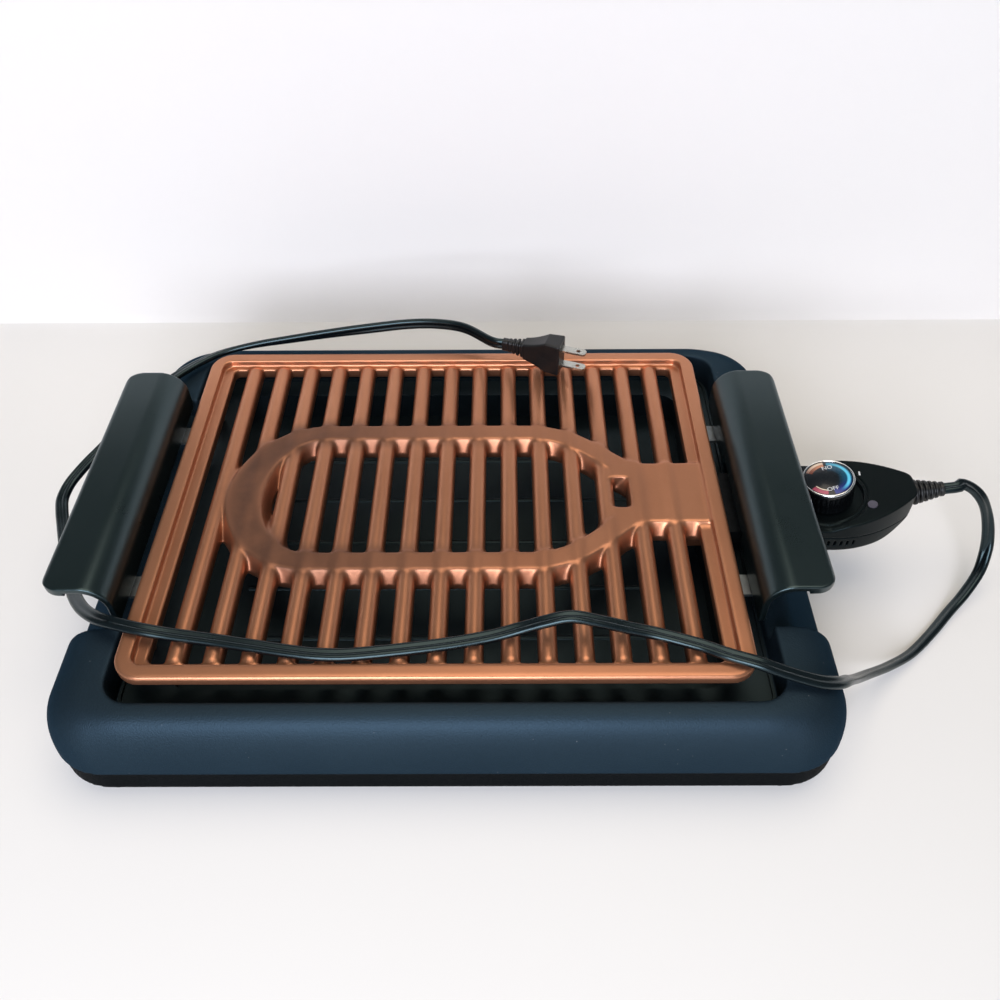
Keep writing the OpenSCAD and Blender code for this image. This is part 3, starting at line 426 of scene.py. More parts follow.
def base_tree(sizes, step):
    """The moulded base: bullnose, well with its step, side recesses, hollow underside and posts
    for the feet."""
    tree, s, finish = new_tree("Moulded base", sizes)
    x, y, z = space(tree)
    ax, ay = abs(x), abs(y)
    wide_x, wide_y = s.length * 0.5, s.depth * 0.5
    well_x, well_y, well_r = s.well_length * 0.5, s.well_depth * 0.5, s.well_radius
    land = s.land

    # a superellipse carries the widest outline over to the land round the well
    inner = rectangle(x, y, well_x + land, well_y + land, well_r + land)
    outer = rectangle(x, y, wide_x, wide_y, s.corner_radius)
    gap = inner - outer
    tall = s.top - s.widest_height
    out = (inner / gap).at_least(0)
    up = ((z - s.widest_height) / tall).at_least(0)
    ring = (out**2.8 + up**2.8).at_least(1e-4) ** (1 / 2.8)
    slope = distance((out / ring) ** 1.8 / gap, (up / ring) ** 1.8 / tall)
    shell = (ring - 1.0) / slope.at_least(1e-3)

    well = common(rectangle(x, y, well_x, well_y, well_r), s.step_height - z)
    low = common(rectangle(x, y, s.tray_length * 0.5, s.tray_depth * 0.5, well_r), s.floor - z)
    # the recess in each side has a level floor that turns down towards the outside
    fall = s.recess_height - s.scoop_height
    scoop_x = ax - (wide_x - s.scoop_width)
    scoop = (scoop_x * fall + (z - s.recess_height) * s.scoop_width) / distance(fall, s.scoop_width)
    floor = join(s.recess_height - z, -scoop, 5.0)
    side = common(common((well_x - 2.0) - ax, ay - s.recess_length * 0.5), floor, 3.0)
    channel = common(common((well_x - 2.0) - x, ay - s.channel_width * 0.5), s.step_height - z, 2.0)
    rooms = join(join(well, low), join(side, channel))
    body = cut(shell, rooms, s.edge_round)
    strip = common(-(outer + s.strip_inset), z - s.strip_height)
    body = cut(common(body, s.lower_edge - z, 0.8), strip, 0.8)
    hollow = cut(shell + s.wall, rooms - s.wall)
    body = cut(body, hollow, 0.4)
    posts = distance(ax - s.foot_x, ay - s.foot_y) - s.foot_radius
    posts = common(posts, between(z, s.lower_edge - 6.0, 36.0), 0.5)
    body = join(body, posts, 1.0)

    return finish_tree(tree, body, *reach(sizes, 0.0, sizes["Top"] + 3), step, BASE, finish)


BASE_SIZES = {
    "Length": base_high.x - base_low.x,
    "Depth": base_high.y - base_low.y,
    "Corner radius": 36.0,
    "Widest height": 20.0,
    "Top": base_high.z,
    "Lower edge": 9.0,
    "Land": 2.5,
    "Well length": 372.0,
    "Well depth": 296.0,
    "Well radius": 16.0,
    "Step height": 46.0,
    "Tray length": 340.0,
    "Tray depth": 270.0,
    "Floor": 21.4,
    "Recess length": 198.0,
    "Recess height": 53.0,
    "Scoop height": 30.0,
    "Scoop width": 24.0,
    "Channel width": 68.0,
    "Edge round": 2.4,
    "Strip inset": 1.2,
    # top of the lower strip, which is also where the painted shade in the base's finish begins
    "Strip height": 26.0,
    "Wall": 3.0,
    "Foot x": 190.5,
    "Foot y": 156.5,
    "Foot radius": 7.5,
}


def handle_tree(sizes, step, side):
    """A handle: wall, arched shoulder, shelf and lip, with screw columns and ribs inside."""
    tree, s, finish = new_tree("Handle", sizes)
    x, y, z = space(tree)
    x = x * float(side)
    ay = abs(y)
    wall, shoulder, lip = s.wall, s.shoulder, s.lip_round
    inner_x, outer_x, top = s.inner_face, s.reach, s.shelf_height
    end = s.length * 0.5
    bend_x, bend_z = inner_x + shoulder, top - shoulder

    outside = corner(x - (outer_x - lip), z - (top - lip), lip)
    outside = common(corner(bend_x - x, z - bend_z, shoulder), outside)
    plan_x, plan_y = x - (outer_x - s.plan_corner), ay - (end - s.plan_corner)
    plan = corner(plan_x, plan_y, s.plan_corner)
    form = common(common(outside, plan, 1.6), -s.drop - z, 1.2)
    room = corner(x - (outer_x - wall - 0.8), z - (top - wall - 1.0), 1.0)
    room = common(corner(bend_x - x, z - bend_z, shoulder - wall), room)
    within = corner(plan_x, plan_y, s.plan_corner - wall)
    room = join(common(room, within), common(room, x - (bend_x + 7.0)))
    room = join(room, common(z - (top - s.lip_height), bend_x - x))
    shell = cut(form, room, 1.3)

    column = distance(x - s.column_x, ay - s.bracket_y) - 5.5
    column = common(column, between(z, -s.drop - 2.0, top - 2.0), 0.6)
    inside = common(outside, plan) + 1.5
    rib = between(ay, s.bracket_y - 1.5, s.bracket_y + 1.5)
    rib = common(rib, between(x, inner_x + 1.0, outer_x - 9.0))
    rib = common(rib, between(z, -s.drop + 1.0, top - 2.0))
    rib = common(rib, (x - (inner_x + 12.0)) * 0.75 - (z - 4.0) * 0.66)
    shell = join(shell, common(join(column, rib, 1.0), inside), 1.0)
    notch = common(ay - s.notch, z - s.notch_top)
    shell = cut(shell, common(notch, x - (inner_x + wall + 1)), 1.2)

    near, far = sorted((side * (sizes["Inner face"] - 2), side * (sizes["Reach"] + 2)))
    lowest = (near, -sizes["Length"] / 2 - 2, -sizes["Drop"] - 4)
    highest = (far, sizes["Length"] / 2 + 2, sizes["Shelf height"] + 2)
    return finish_tree(tree, shell, lowest, highest, step, PLATE, finish)


HANDLE_SIZES = {
    "Length": 190.0,
    "Inner face": 183.0,
    "Reach": 221.0,
    "Shelf height": 19.0,
    "Shoulder": 17.0,
    "Lip round": 4.0,
    "Lip height": 6.0,
    "Wall": 4.0,
    "Drop": 12.0,
    "Plan corner": 12.0,
    "Column x": 196.0,
    "Bracket y": BRACKET_Y,
    "Notch": 0.0,
    "Notch top": -5.0,
}


def control_tree(sizes, step, low, high):
    """One half of the control's housing, between two heights."""
    tree, s, finish = new_tree("Control housing", sizes)
    x, y, z = space(tree)
    ay = abs(y)
    tail = s.end - s.tail_start
    along = ((x - s.tail_start) / tail).share()
    drop = s.width * 0.5 - s.tip
    half = s.tip + drop * (1.0 - along * along)
    lean_y = 2.0 * drop * along / tail
    plan = (ay - half) / distance(lean_y, 1.0)
    plan = common(common(plan, x - s.end, 5.0), s.start - x, 1.0)

    # the top is level under the handle, then leans up to the cord
    dial = PLATE - DIAL
    lean_x, lean_z = math.cos(LEAN), math.sin(LEAN)
    axis_x = (x + dial.x) * lean_x + (z + dial.z) * lean_z
    axis_z = (z + dial.z) * lean_x - (x + dial.x) * lean_z
    around = distance(axis_x, y)
    # low terraces run round the knob on the side towards the handle
    terrace = ((around - 16.0) / 3.0).made("FLOOR").at_least(0).at_most(4.0)
    towards = ((7.0 - axis_x) / 12.0).share()
    top = join(z + s.level_top, axis_z + terrace * towards * 0.8, 1.5)
    chin = ((x - (s.end - 16.0)) * 11.0 - (z + s.underside) * 16.0) / 19.4
    form = common(common(plan, top, 1.6), common(-s.underside - z, chin, 8.0), 2.4)
    nose = common(common(form + 2.0, x - (s.start + 14.0)), (s.start + 3.0) - x)
    mouth = common(rectangle(y, z + s.socket, s.width * 0.5 - 2.0, 7.0, 1.0), x - (s.start + 14.0))
    form = cut(form, join(nose, mouth), 0.5)

    # the dial's recess with its steps, and the lamp's hole
    well = common(around - s.recess_radius, -axis_z - s.recess_depth, 0.6)
    groove = common(abs(around - (s.recess_radius + 2.6)) - 0.45, -axis_z - 0.7)
    lamp = common(distance(axis_x - s.lamp_x, y + s.lamp_y) - 3.05, -axis_z - 4.0)
    form = cut(form, join(join(well, groove), lamp), 0.8)

    # counterbored screws and air slots below
    screws = join(distance(x - (s.start + 22.0), ay - 23.5), distance(x - (s.end - 17.0), y)) - 3.3
    form = cut(form, common(screws, z + s.underside - 2.4), 0.4)
    slot_x = x - s.slot_start
    number = (slot_x / s.slot_pitch).made("ROUND").at_least(0).at_most(5.0)
    slots = rectangle(slot_x - number * s.slot_pitch, z + 20.0, 0.6, 2.2, 0.5)
    form = cut(form, common(slots, common(y, -(plan + 2.0))), 0.4)
    form = common(form, between(z, low, high), 0.7)

    lowest = (sizes["Start"] - 2, -sizes["Width"] / 2 - 2, max(low, -sizes["Underside"]) - 1)
    highest = (sizes["End"] + 2, sizes["Width"] / 2 + 2, min(high, 6.0) + 1)
    return finish_tree(tree, form, lowest, highest, step, PLATE, finish)


CONTROL_SIZES = {
    "Start": 190.0,
    "End": 297.0,
    "Tail start": 246.0,
    "Width": 59.0,
    "Tip": 8.5,
    "Level top": 9.0,
    "Underside": 27.0,
    "Socket": 18.0,
    "Recess radius": 22.0,
    "Recess depth": 3.0,
    "Lamp x": 24.8,
    "Lamp y": 13.3,
    "Slot start": 236.8,
    "Slot pitch": 4.0,
}


def plug_tree(sizes, step):
    """The moulded plug: it flares to its face, and necks down to a ribbed tail."""
    tree, s, finish = new_tree("Plug", sizes)
    x, y, z = space(tree)
    ay, az = abs(y), abs(z)
    half = s.height * 0.5
    flare = ((x + s.body_length) / (s.body_length - 11.0)).share()
    tall = s.neck_half + (half - s.neck_half) * flare**1.6
    deep = 5.0 + 3.0 * ((x + s.body_length) / s.body_length).share()
    body = common(common(az - tall, ay - deep, 2.2), common(x, -s.body_length - x, 0.5), 1.6)
    dish = distance(distance(x + 14.0, z), ay - 30.5) - 24.0
    body = cut(body, dish, 0.8)
    tail_x = x + s.body_length
    taper = (-tail_x * 0.11).at_least(0)
    core = common(tail_x - 2.0, -s.tail_length - tail_x, 0.6)
    core = common(rectangle(ay, az, 3.0, 4.6, 2.2), core, 0.5)
    number = ((-tail_x - 1.0) / s.rib_pitch).made("ROUND").at_least(0).at_most(4.0)
    along = tail_x + 1.0 + number * s.rib_pitch
    rib = rectangle(ay, az, 4.6 - taper, 6.4 - taper * 1.2, 2.6)
    rib = common(rib, abs(along) - 0.95, 0.5)
    body = join(join(body, core, 0.6), rib, 0.3)
    blades = rectangle(y, az - s.blade_z, 3.25, 0.85, 0.2)
    body = cut(body, common(blades, -3.0 - x), 0.2)
    lowest = (-sizes["Body length"] - sizes["Tail length"] - 1, -9.0, -sizes["Height"] / 2 - 1)
    highest = (1.5, 9.0, sizes["Height"] / 2 + 1)
    return finish_tree(tree, body, lowest, highest, step, Vector((0, 0, 0)), finish)


PLUG_SIZES = {
    "Height": 25.0,
    "Body length": 28.0,
    "Tail length": 16.0,
    "Neck half": 6.6,
    "Rib pitch": 3.2,
    "Blade z": 6.35,
}


# ---------------------------------------------------------------- turned and swept pieces


def turned(name, profile, sides, material, ripple=None):
    """A surface turned about Z from (radius, height) pairs in millimetres, closed at both poles.
    ripple gives the radius to take off at an angle and a height."""
    bm = bmesh.new()
    rings = []
    for radius, height in profile:
        if radius == 0:
            rings.append([bm.verts.new((0, 0, height * MM))])
            continue
        ring = []
        for i in range(sides):
            angle = math.tau * i / sides
            r = (radius - (ripple(angle, height) if ripple else 0)) * MM
            ring.append(bm.verts.new((r * math.cos(angle), r * math.sin(angle), height * MM)))
        rings.append(ring)
    for low, high in zip(rings, rings[1:]):
        for i in range(sides):
            j = (i + 1) % sides
            corners = [low[i % len(low)], low[j % len(low)]]
            corners += [high[j % len(high)], high[i % len(high)]]
            corners = list(dict.fromkeys(corners))
            if len(corners) > 2:
                bm.faces.new(corners)
    return solid_of(name, bm, material)


def solid_of(name, bm, material, sharp=40.0):
    """Closes a bmesh into an object, smooth except along edges sharper than an angle in degrees."""
    bmesh.ops.recalc_face_normals(bm, faces=bm.faces)
    for face in bm.faces:
        face.smooth = True
    for edge in bm.edges:
        edge.smooth = not (edge.is_manifold and edge.calc_face_angle() > math.radians(sharp))
    obj = empty_mesh(name)
    bm.to_mesh(obj.data)
    bm.free()
    obj.data.materials.append(material)
    return obj


def rounded(points, radius, steps=3):
    """A profile with each inner corner rounded over."""
    line = [points[0]]
    for before, here, after in zip(points, points[1:], points[2:]):
        a, p, b = Vector(before), Vector(here), Vector(after)
        r = min(radius, (a - p).length * 0.45, (b - p).length * 0.45)
        start, end = p + (a - p).normalized() * r, p + (b - p).normalized() * r
        for i in range(steps + 1):
            t = i / steps
            line.append(tuple(start * (1 - t) ** 2 + p * 2 * t * (1 - t) + end * t**2))
    return [*line, points[-1]]


def moved(obj, matrix):
    """Puts a place into an object's mesh."""
    obj.data.transform(matrix)
    obj.data.update()
    return obj


def at_dial():
    return Matrix.Translation(DIAL * MM) @ Matrix.Rotation(-LEAN, 4, "Y")


def on_curve(points, spacing):
    """Points at an even spacing on a smooth curve through rows, whose first three numbers are a
    place."""
    line = []
    padded = [points[0], *points, points[-1]]
    for a, b, c, d in zip(padded, padded[1:], padded[2:], padded[3:]):
        count = max(1, round((Vector(c[:3]) - Vector(b[:3])).length / spacing))
        for i in range(count):
            t = i / count
            row = []
            for p, q, r, s in zip(a, b, c, d):
                square, cube = 2 * p - 5 * q + 4 * r - s, 3 * q - p - 3 * r + s
                row.append(0.5 * (2 * q + (r - p) * t + square * t**2 + cube * t**3))
            line.append(row)
    return [*line, list(points[-1])]


def swept(name, line, section, material):
    """A tube: a section of (across, up) pairs carried along rows of x, y, z and roll in degrees."""
    bm = bmesh.new()
    places = [Vector(row[:3]) for row in line]
    rings = []
    for i, place in enumerate(places):
        heading = (places[min(i + 1, len(places) - 1)] - places[max(i - 1, 0)]).normalized()
        level = heading.cross(Vector((0, 0, 1))).normalized()
        above = level.cross(heading)
        roll = math.radians(line[i][3])
        wide = level * math.cos(roll) + above * math.sin(roll)
        thick = above * math.cos(roll) - level * math.sin(roll)
        rings.append([bm.verts.new((place + wide * u + thick * v) * MM) for u, v in section])
    sides = len(section)
    for a, b in zip(rings, rings[1:]):
        for i in range(sides):
            j = (i + 1) % sides
            bm.faces.new((a[i], a[j], b[j], b[i]))
    bm.faces.new(rings[0])
    bm.faces.new(rings[-1])
    return solid_of(name, bm, material, 60.0)


def twin_section(width, thickness):
    """Outline of a flat twin cord: two round covers joined by a web."""
    r = thickness / 2
    middle = width / 2 - r
    web = r * 0.68
    turns = [math.radians(-118 + 23.6 * i) for i in range(11)]
    half = [(middle + r * math.cos(a), r * math.sin(a)) for a in turns]
    return [*half, (0, web), *[(-u, -v) for u, v in half], (0, -web)]


# ---------------------------------------------------------------- finishes


def new_material(name):
    """A material with its surface shader, and the object's own coordinates."""
    material = bpy.data.materials.new(name)
    material.use_nodes = True
    tree = material.node_tree
    tree.nodes.clear()
    shader = add(tree, "ShaderNodeBsdfPrincipled")
    add(tree, "ShaderNodeOutputMaterial", {"Surface": shader.outputs[0]})
    here = add(tree, "ShaderNodeTexCoord").outputs["Object"]
    return material, tree, shader, here


def noise(tree, here, size, detail=3.0, offset=0.0):
    """A wandering value from 0 to 1, whose features are about size millimetres across."""
    inputs = {0: here, 1: (offset, offset, offset)}
    place = add(tree, "ShaderNodeVectorMath", inputs, operation="ADD").outputs[0]
    inputs = {"Vector": place, "Scale": 1 / (size * MM), "Detail": detail}
    return Field(tree, add(tree, "ShaderNodeTexNoise", inputs).outputs[0])


def blended(tree, amount, a, b):
    """A colour between two, by an amount from 0 to 1."""
    mix = add(tree, "ShaderNodeMix", {0: amount, 6: a, 7: b}, data_type="RGBA")
    return mix.outputs[2]


def step_up(value, low, high):
    """Rises smoothly from 0 to 1 as a value goes from low to high."""
    inputs = {"Value": value, "From Min": low, "From Max": high}
    node = add(value.tree, "ShaderNodeMapRange", inputs, interpolation_type="SMOOTHSTEP")
    return Field(value.tree, node.outputs[0])


def relief(tree, height, depth):
    """What a shader's Normal takes to stand out by a depth in millimetres where the height is 1."""
    return add(tree, "ShaderNodeBump", {"Height": height, "Distance": depth * MM}).outputs[0]


def even_finish(name, dark, light, gloss, grain, depth, patch, constants):
    """A finish whose colour and gloss wander over patches, with a fine relief."""
    material, tree, shader, here = new_material(name)
    broad = noise(tree, here, patch, 4.0)
    fine = noise(tree, here, grain, 2.0, 3.0)
    smooth, rough = gloss
    inputs = {
        "Base Color": blended(tree, broad * 0.7 + fine * 0.3, linear(dark), linear(light)),
        "Roughness": (broad * 0.6 + fine * 0.4) * (rough - smooth) + smooth,
        "Normal": relief(tree, fine, depth),
    }
    feed(shader, {**inputs, **constants})
    return material


def plate_finish(copper, burnt):
    """Cast aluminium with a sprayed copper-coloured non-stick coat: satin, with fine bright flecks,
    burnt darker over the element, and with painted shade that darkens it the lower the surface lies."""
    material, tree, shader, here = new_material("cast_aluminium_copper_coat")
    inputs = {0: here, 1: PLATE * MM}
    plate = add(tree, "ShaderNodeVectorMath", inputs, operation="SUBTRACT").outputs[0]
    x, y, z = [across / MM for across in space(tree, plate)]
    ay = abs(y)
    # distance from the middle line of the element ring, whose left end has had the most heat
    left = ellipse((x + 80.0).at_most(0), ay, 47.0, 56.0)
    right = ellipse((x - 52.0).at_least(0), ay, 66.0, 56.0)
    line = abs(common(left, right))
    wander = noise(tree, here, 16.0, 5.0)
    near = step_up(line + wander * 8.0, 22.0, 9.0)
    heat = step_up(x + wander * 60.0 - 30.0, 70.0, -110.0) * 0.75 + 0.25
    stain = (near * heat * (wander * 0.5 + 0.5)).share()
    # painted shade: dark brown the lower the surface lies, down the bars' sides, over the ledge and under
    # the ring
    low_painted_shade = step_up(z, -3.0, -10.0) * 0.55
    fleck = noise(tree, here, 0.7, 2.0, 1.0)
    tone = noise(tree, here, 45.0, 3.0, 2.0)
    clean = blended(tree, tone * 0.6 + fleck * 0.4, linear(copper[0]), linear(copper[1]))
    marked = blended(tree, stain, clean, linear(burnt))
    inputs = {
        # the dark brown is the painted shade
        "Base Color": blended(tree, low_painted_shade, marked, linear("#5a3020")),
        "Roughness": fleck * 0.14 + stain * 0.14 + 0.31,
        "Normal": relief(tree, fleck, 0.03),
        "Metallic": 0.85,
    }
    feed(shader, inputs)
    return material


def base_finish(dark, light):
    """ABS moulded in a spark-textured mould: blue-black pearl with a fine grain and a little dust,
    and painted shade below: a near black, matt strip."""
    material, tree, shader, here = new_material("moulded_abs_textured")
    grain = noise(tree, here, 0.9, 2.0)
    broad = noise(tree, here, 60.0, 4.0, 1.0)
    # dust: one speck at most in each cell of 7 mm, and none in most cells
    cells = add(tree, "ShaderNodeTexVoronoi", {"Vector": here, "Scale": 1 / (7.0 * MM)})
    chance = add(tree, "ShaderNodeSeparateColor", {0: cells.outputs["Color"]}).outputs[0]
    speck = step_up(Field(tree, cells.outputs["Distance"]), 0.055, 0.03)
    speck = speck * step_up(Field(tree, chance), 0.55, 0.75)
    height = space(tree, here)[2] / MM
    # painted shade: below the strip's top the base turns near black and matt, for the shade under its
    # widest line
    above_painted_shade = step_up(height, BASE_SIZES["Strip height"] - 1.0, BASE_SIZES["Strip height"] + 0.5)
    body = blended(tree, grain * 0.4 + broad * 0.6, linear(dark), linear(light))
    body = blended(tree, speck * 0.6, body, linear("#8b9094"))
    inputs = {
        # the near black below is the painted shade
        "Base Color": blended(tree, above_painted_shade, linear("#05080a"), body),
        "Roughness": grain * 0.14 + broad * 0.08 - above_painted_shade * 0.12 + 0.6,
        "Metallic": above_painted_shade * 0.8 + 0.1,
        "Normal": relief(tree, grain, 0.2),
        "Specular IOR Level": 0.08,
        "Specular Tint": (0.3, 0.36, 0.42, 1.0),
    }
    feed(shader, inputs)
    return material


def dial_finish(print_colours):
    """A printed aluminium disc under clear lacquer: a dark middle, with warm, cool and red bands
    that fade out."""
    material, tree, shader, here = new_material("printed_aluminium_disc")
    inputs = {0: here, 1: DIAL * MM}
    plane = add(tree, "ShaderNodeVectorMath", inputs, operation="SUBTRACT").outputs[0]
    inputs = {"Vector": plane, "Axis": (0, 1, 0), "Angle": LEAN}
    level = add(tree, "ShaderNodeVectorRotate", inputs).outputs[0]
    x, y = [across / MM for across in space(tree, level)[:2]]
    radius = distance(x, y)
    angle = y.made("ARCTAN2", x) * (180 / math.pi)
    whole = (angle + 360.0).made("MODULO", 360.0)
    middle, teal, cyan, navy, sand, orange, rust, red = [linear(c) for c in print_colours]
    outer = step_up(radius, 14.3, 13.7)
    cool = step_up(abs(angle), 86.0, 84.0) * outer
    face = blended(tree, cool * step_up(radius, 5.0, 10.5) * step_up(angle, -70.0, 0.0), middle, teal)
    face = blended(tree, cool * step_up(radius, 7.0, 12.0) * step_up(angle, 10.0, -60.0), face, navy)
    bright = cool * step_up(radius, 10.7, 11.8) * step_up(radius, 13.6, 12.6)
    bright = bright * step_up(angle, -70.0, -25.0) * (step_up(angle, 95.0, 30.0) * 0.6 + 0.4)
    face = blended(tree, bright, face, cyan)
    warm = step_up(whole, 93.0, 94.0) * step_up(whole, 153.0, 150.0) * outer
    fading = blended(tree, step_up(whole, 105.0, 150.0), orange, rust)
    face = blended(tree, warm * step_up(radius, 10.0, 10.3), face, fading)
    face = blended(tree, warm * step_up(radius, 12.2, 12.5) * step_up(whole, 165.0, 105.0), face, sand)
    low = step_up(whole, 212.0, 214.0) * step_up(whole, 258.0, 256.0) * outer
    face = blended(tree, low * step_up(radius, 11.0, 11.3), face, red)
    face = blended(tree, low * step_up(radius, 10.0, 10.2) * step_up(radius, 10.9, 10.7), face, sand)
    inputs = {
        "Base Color": face,
        "Roughness": noise(tree, here, 0.3) * 0.1 + 0.22,
        "Specular IOR Level": 0.3,
        "Coat Weight": 0.3,
        "Coat Roughness": 0.08,
    }
    feed(shader, inputs)
    return material


# What the reflections in the blue-black coverings are tinted
COOL = {"Specular Tint": (0.65, 0.94, 1.0, 1.0)}
METAL = {"Metallic": 1.0}

# The plainer finishes: the material's name, its darker and lighter colour, its least and greatest
# roughness, then in millimetres the size of the grain, the height of its relief and the size of the
# patches, and the shader's constant inputs. A grain finer than about 0.6 mm doesn't show by itself
# and only softens the reflections.
PLAIN_FINISHES = {
    # handles: pressed and hardly polished, so reflections with soft edges and faint wiping marks
    "handle": (
        "pressed_phenolic", "#050909", "#0a1011", (0.24, 0.34), 0.5, 0.012, 35.0,
        {"IOR": 1.68, **COOL},
    ),
    # the control's shells: the mould's fine matt grain, so hardly any reflection
    "control": (
        "moulded_nylon", "#030506", "#070b0d", (0.32, 0.44), 0.35, 0.02, 35.0,
        {"Specular IOR Level": 0.16, **COOL},
    ),
    # knob: a polished mould, so almost a mirror, with finger marks
    "knob": ("moulded_abs_gloss", "#040506", "#080a0c", (0.14, 0.26), 1.5, 0.004, 12.0, {}),
    # bright ring: turned and anodised clear, so narrow highlights that run round it
    "bezel": ("turned_aluminium", "#d8dbde", "#f2f3f5", (0.14, 0.22), 0.2, 0.003, 6.0, METAL),
    # ON, OFF and the mark beside the dial: ink, so dull and even
    "legend": ("white_print", "#cfd3d6", "#e2e5e7", (0.4, 0.5), 0.3, 0.002, 35.0, {}),
    # cord: extruded, so a soft sheen along it, with faint dust
    "cord": ("extruded_vinyl", "#04070a", "#090d11", (0.20, 0.32), 0.8, 0.01, 25.0, {"IOR": 1.5, **COOL}),
    # plug and strain relief: moulded soft vinyl, so duller than the cord
    "plug": ("moulded_vinyl", "#070809", "#0f1113", (0.34, 0.48), 0.4, 0.02, 15.0, {"IOR": 1.5}),
    # feet: rubber, so almost without reflections
    "rubber": ("moulded_rubber", "#070708", "#101011", (0.7, 0.85), 0.6, 0.05, 35.0, {}),
    # tray: a dark sprayed non-stick coat, satin, spotted where fat has dried
    "tray": ("coated_sheet_steel", "#070b0f", "#0f151b", (0.34, 0.55), 1.2, 0.02, 22.0, COOL),
    # element: steel browned by its own heat, dull and patchy
    "element": ("heat_tinted_steel", "#3c322c", "#5c5048", (0.4, 0.6), 0.8, 0.02, 18.0, METAL),
    # screws and brackets: pale grey and slightly cloudy
    "zinc": ("zinc_plated_steel", "#8f9597", "#b4b9ba", (0.28, 0.42), 0.5, 0.01, 5.0, METAL),
    # pins and blades: a warm bright grey, rubbed by plugging in
    "nickel": ("nickel_plated_brass", "#a9aaa2", "#cfcfc7", (0.2, 0.36), 0.4, 0.005, 4.0, METAL),
    # contact sleeves and spindle: drawn, so smooth and yellow
    "brass": ("drawn_brass", "#9c7b3c", "#c9a55c", (0.22, 0.34), 0.3, 0.004, 5.0, METAL),
    # contact springs: rolled strip, redder than the brass
    "bronze": ("rolled_bronze", "#9a7040", "#b98a54", (0.25, 0.38), 0.3, 0.003, 5.0, METAL),
    # guard: blackened in a hot bath, and worn to light spots
    "black_steel": ("blackened_steel", "#0a0b0c", "#24272a", (0.3, 0.5), 0.9, 0.02, 3.0, {"Metallic": 0.8}),
    # insulators: unglazed, so cream and matt
    "ceramic": ("steatite_ceramic", "#d9d5ca", "#efece4", (0.45, 0.6), 0.4, 0.01, 8.0, {"IOR": 1.6}),
    # contact carrier: pressed brown board, mottled
    "board": ("phenolic_board", "#3c2c1f", "#57412e", (0.45, 0.6), 0.6, 0.01, 8.0, {}),
    # leads: red silicone over woven glass, soft and dull
    "wire": ("silicone_sleeve", "#6b211b", "#8a342a", (0.45, 0.6), 0.5, 0.01, 8.0, {}),
    # lamp's lens: smoky and glossy, so grey rather than clear
    "lens": (
        "smoked_polycarbonate", "#4c4a54", "#6c6874", (0.12, 0.24), 0.6, 0.01, 3.0,
        {"Transmission Weight": 0.2, "IOR": 1.58},
    ),
    # lamp's bulb: clear, with a warm tint from what is inside
    "glass": (
        "clear_glass", "#f0dcc4", "#fff4e4", (0.02, 0.06), 0.8, 0.001, 3.0,
        {"Transmission Weight": 0.9, "IOR": 1.5},
    ),
}


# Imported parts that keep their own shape, by the finish they are given
NODE_FINISHES = {
    "rubber": ["rubber_feet"],
    "tray": ["drip_tray"],
    "element": ["heating_element"],
    "nickel": ["terminal_pins", "plug_blades"],
    "ceramic": ["pin_insulators", "switch_insulator"],
    "black_steel": ["terminal_guard"],
    "zinc": [
        "guard_screws",
        "handle_brackets",
        "bracket_screws",
        "housing_screws",
        "thermostat_bracket",
        "sensor_probe",
    ],
    "board": ["contact_carrier"],
    "brass": ["contact_sleeves", "dial_spindle"],
    "bronze": ["contact_springs"],
    "glass": ["lamp_bulb"],
    "lens": ["lamp_lens"],
    "wire": ["lead_wires"],
}


made_finishes = {}


def plain_finish(kind):
    """One of the plainer finishes, made the first time it is asked for."""
    if kind not in made_finishes:
        made_finishes[kind] = even_finish(*PLAIN_FINISHES[kind])
    return made_finishes[kind]


# ---------------------------------------------------------------- the cord's route

# Middle of the cord from the strain relief to the plug, measured from the middle of the plate at
# the rim: x, y and z in millimetres, and the roll of its flat side in degrees.
CORD_FREE = [
    (328, 2, 1, -5), (337, 2, -4, -22), (345, 0, -12, -36), (352, -2, -25, -38),
    (356, -6, -38, -30), (357, -11, -50, -32), (353, -20, -61, -36), (342, -32, -69, -38),
    (330, -43, -73, -42), (313, -60, -74, -45), (295, -76, -73, -42), (275, -90, -66, -38),
    (254, -105, -52, -33), (240, -117, -38, -27), (229, -128, -22, -14), (220, -136, -12, -4),
    (209, -139, -7, 0), (198, -138, -4, 0), (185, -136, 0, 0), (173, -133, 3, 0),
    (159, -128, 3, 0), (144, -120, 1, 0), (123, -113, 1, 0), (107, -111, 4, 0),
    (90, -110, 9, 0), (74, -109, 12, 0), (60, -110, 9, 0), (46, -111, 4, 0),
    (30, -114, 1, 0), (8, -118, 0, 0), (-19, -122, 0, 0), (-46, -125, 0, 0),
    (-63, -125, 0, 0), (-79, -123, 0, 0), (-102, -119, 0, 0), (-125, -115, 0, 0),
    (-148, -112, 1, 0), (-164, -110, 3, 0), (-179, -106, 3, 0), (-192, -100, 0, 0),
    (-206, -88, -6, 0), (-219, -70, -13, 0), (-230, -47, -18, 0), (-239, -28, -20, 0),
    (-246, -11, -21, 0), (-251, 2, -21, 0), (-254, 13, -21, 0), (-253, 25, -20, 0),
    (-249, 34, -18, 0), (-243, 43, -15, 0), (-235, 55, -12, 0), (-226, 73, -9, 0),
    (-217, 90, -7, 0), (-209, 105, -6, 0), (-201, 119, -5, 10), (-186, 136, -5, 20),
    (-170, 147, -4, 30), (-148, 153, -2, 45), (-122, 157, 0, 60), (-92, 160, 3, 75),
    (-62, 162, 6, 90), (-32, 163, 9, 90), (-9, 160, 11, 90), (10, 153, 12, 90),
]
RELIEF_START, RELIEF_LENGTH = Vector((294.5, 0, -5)), 22.0
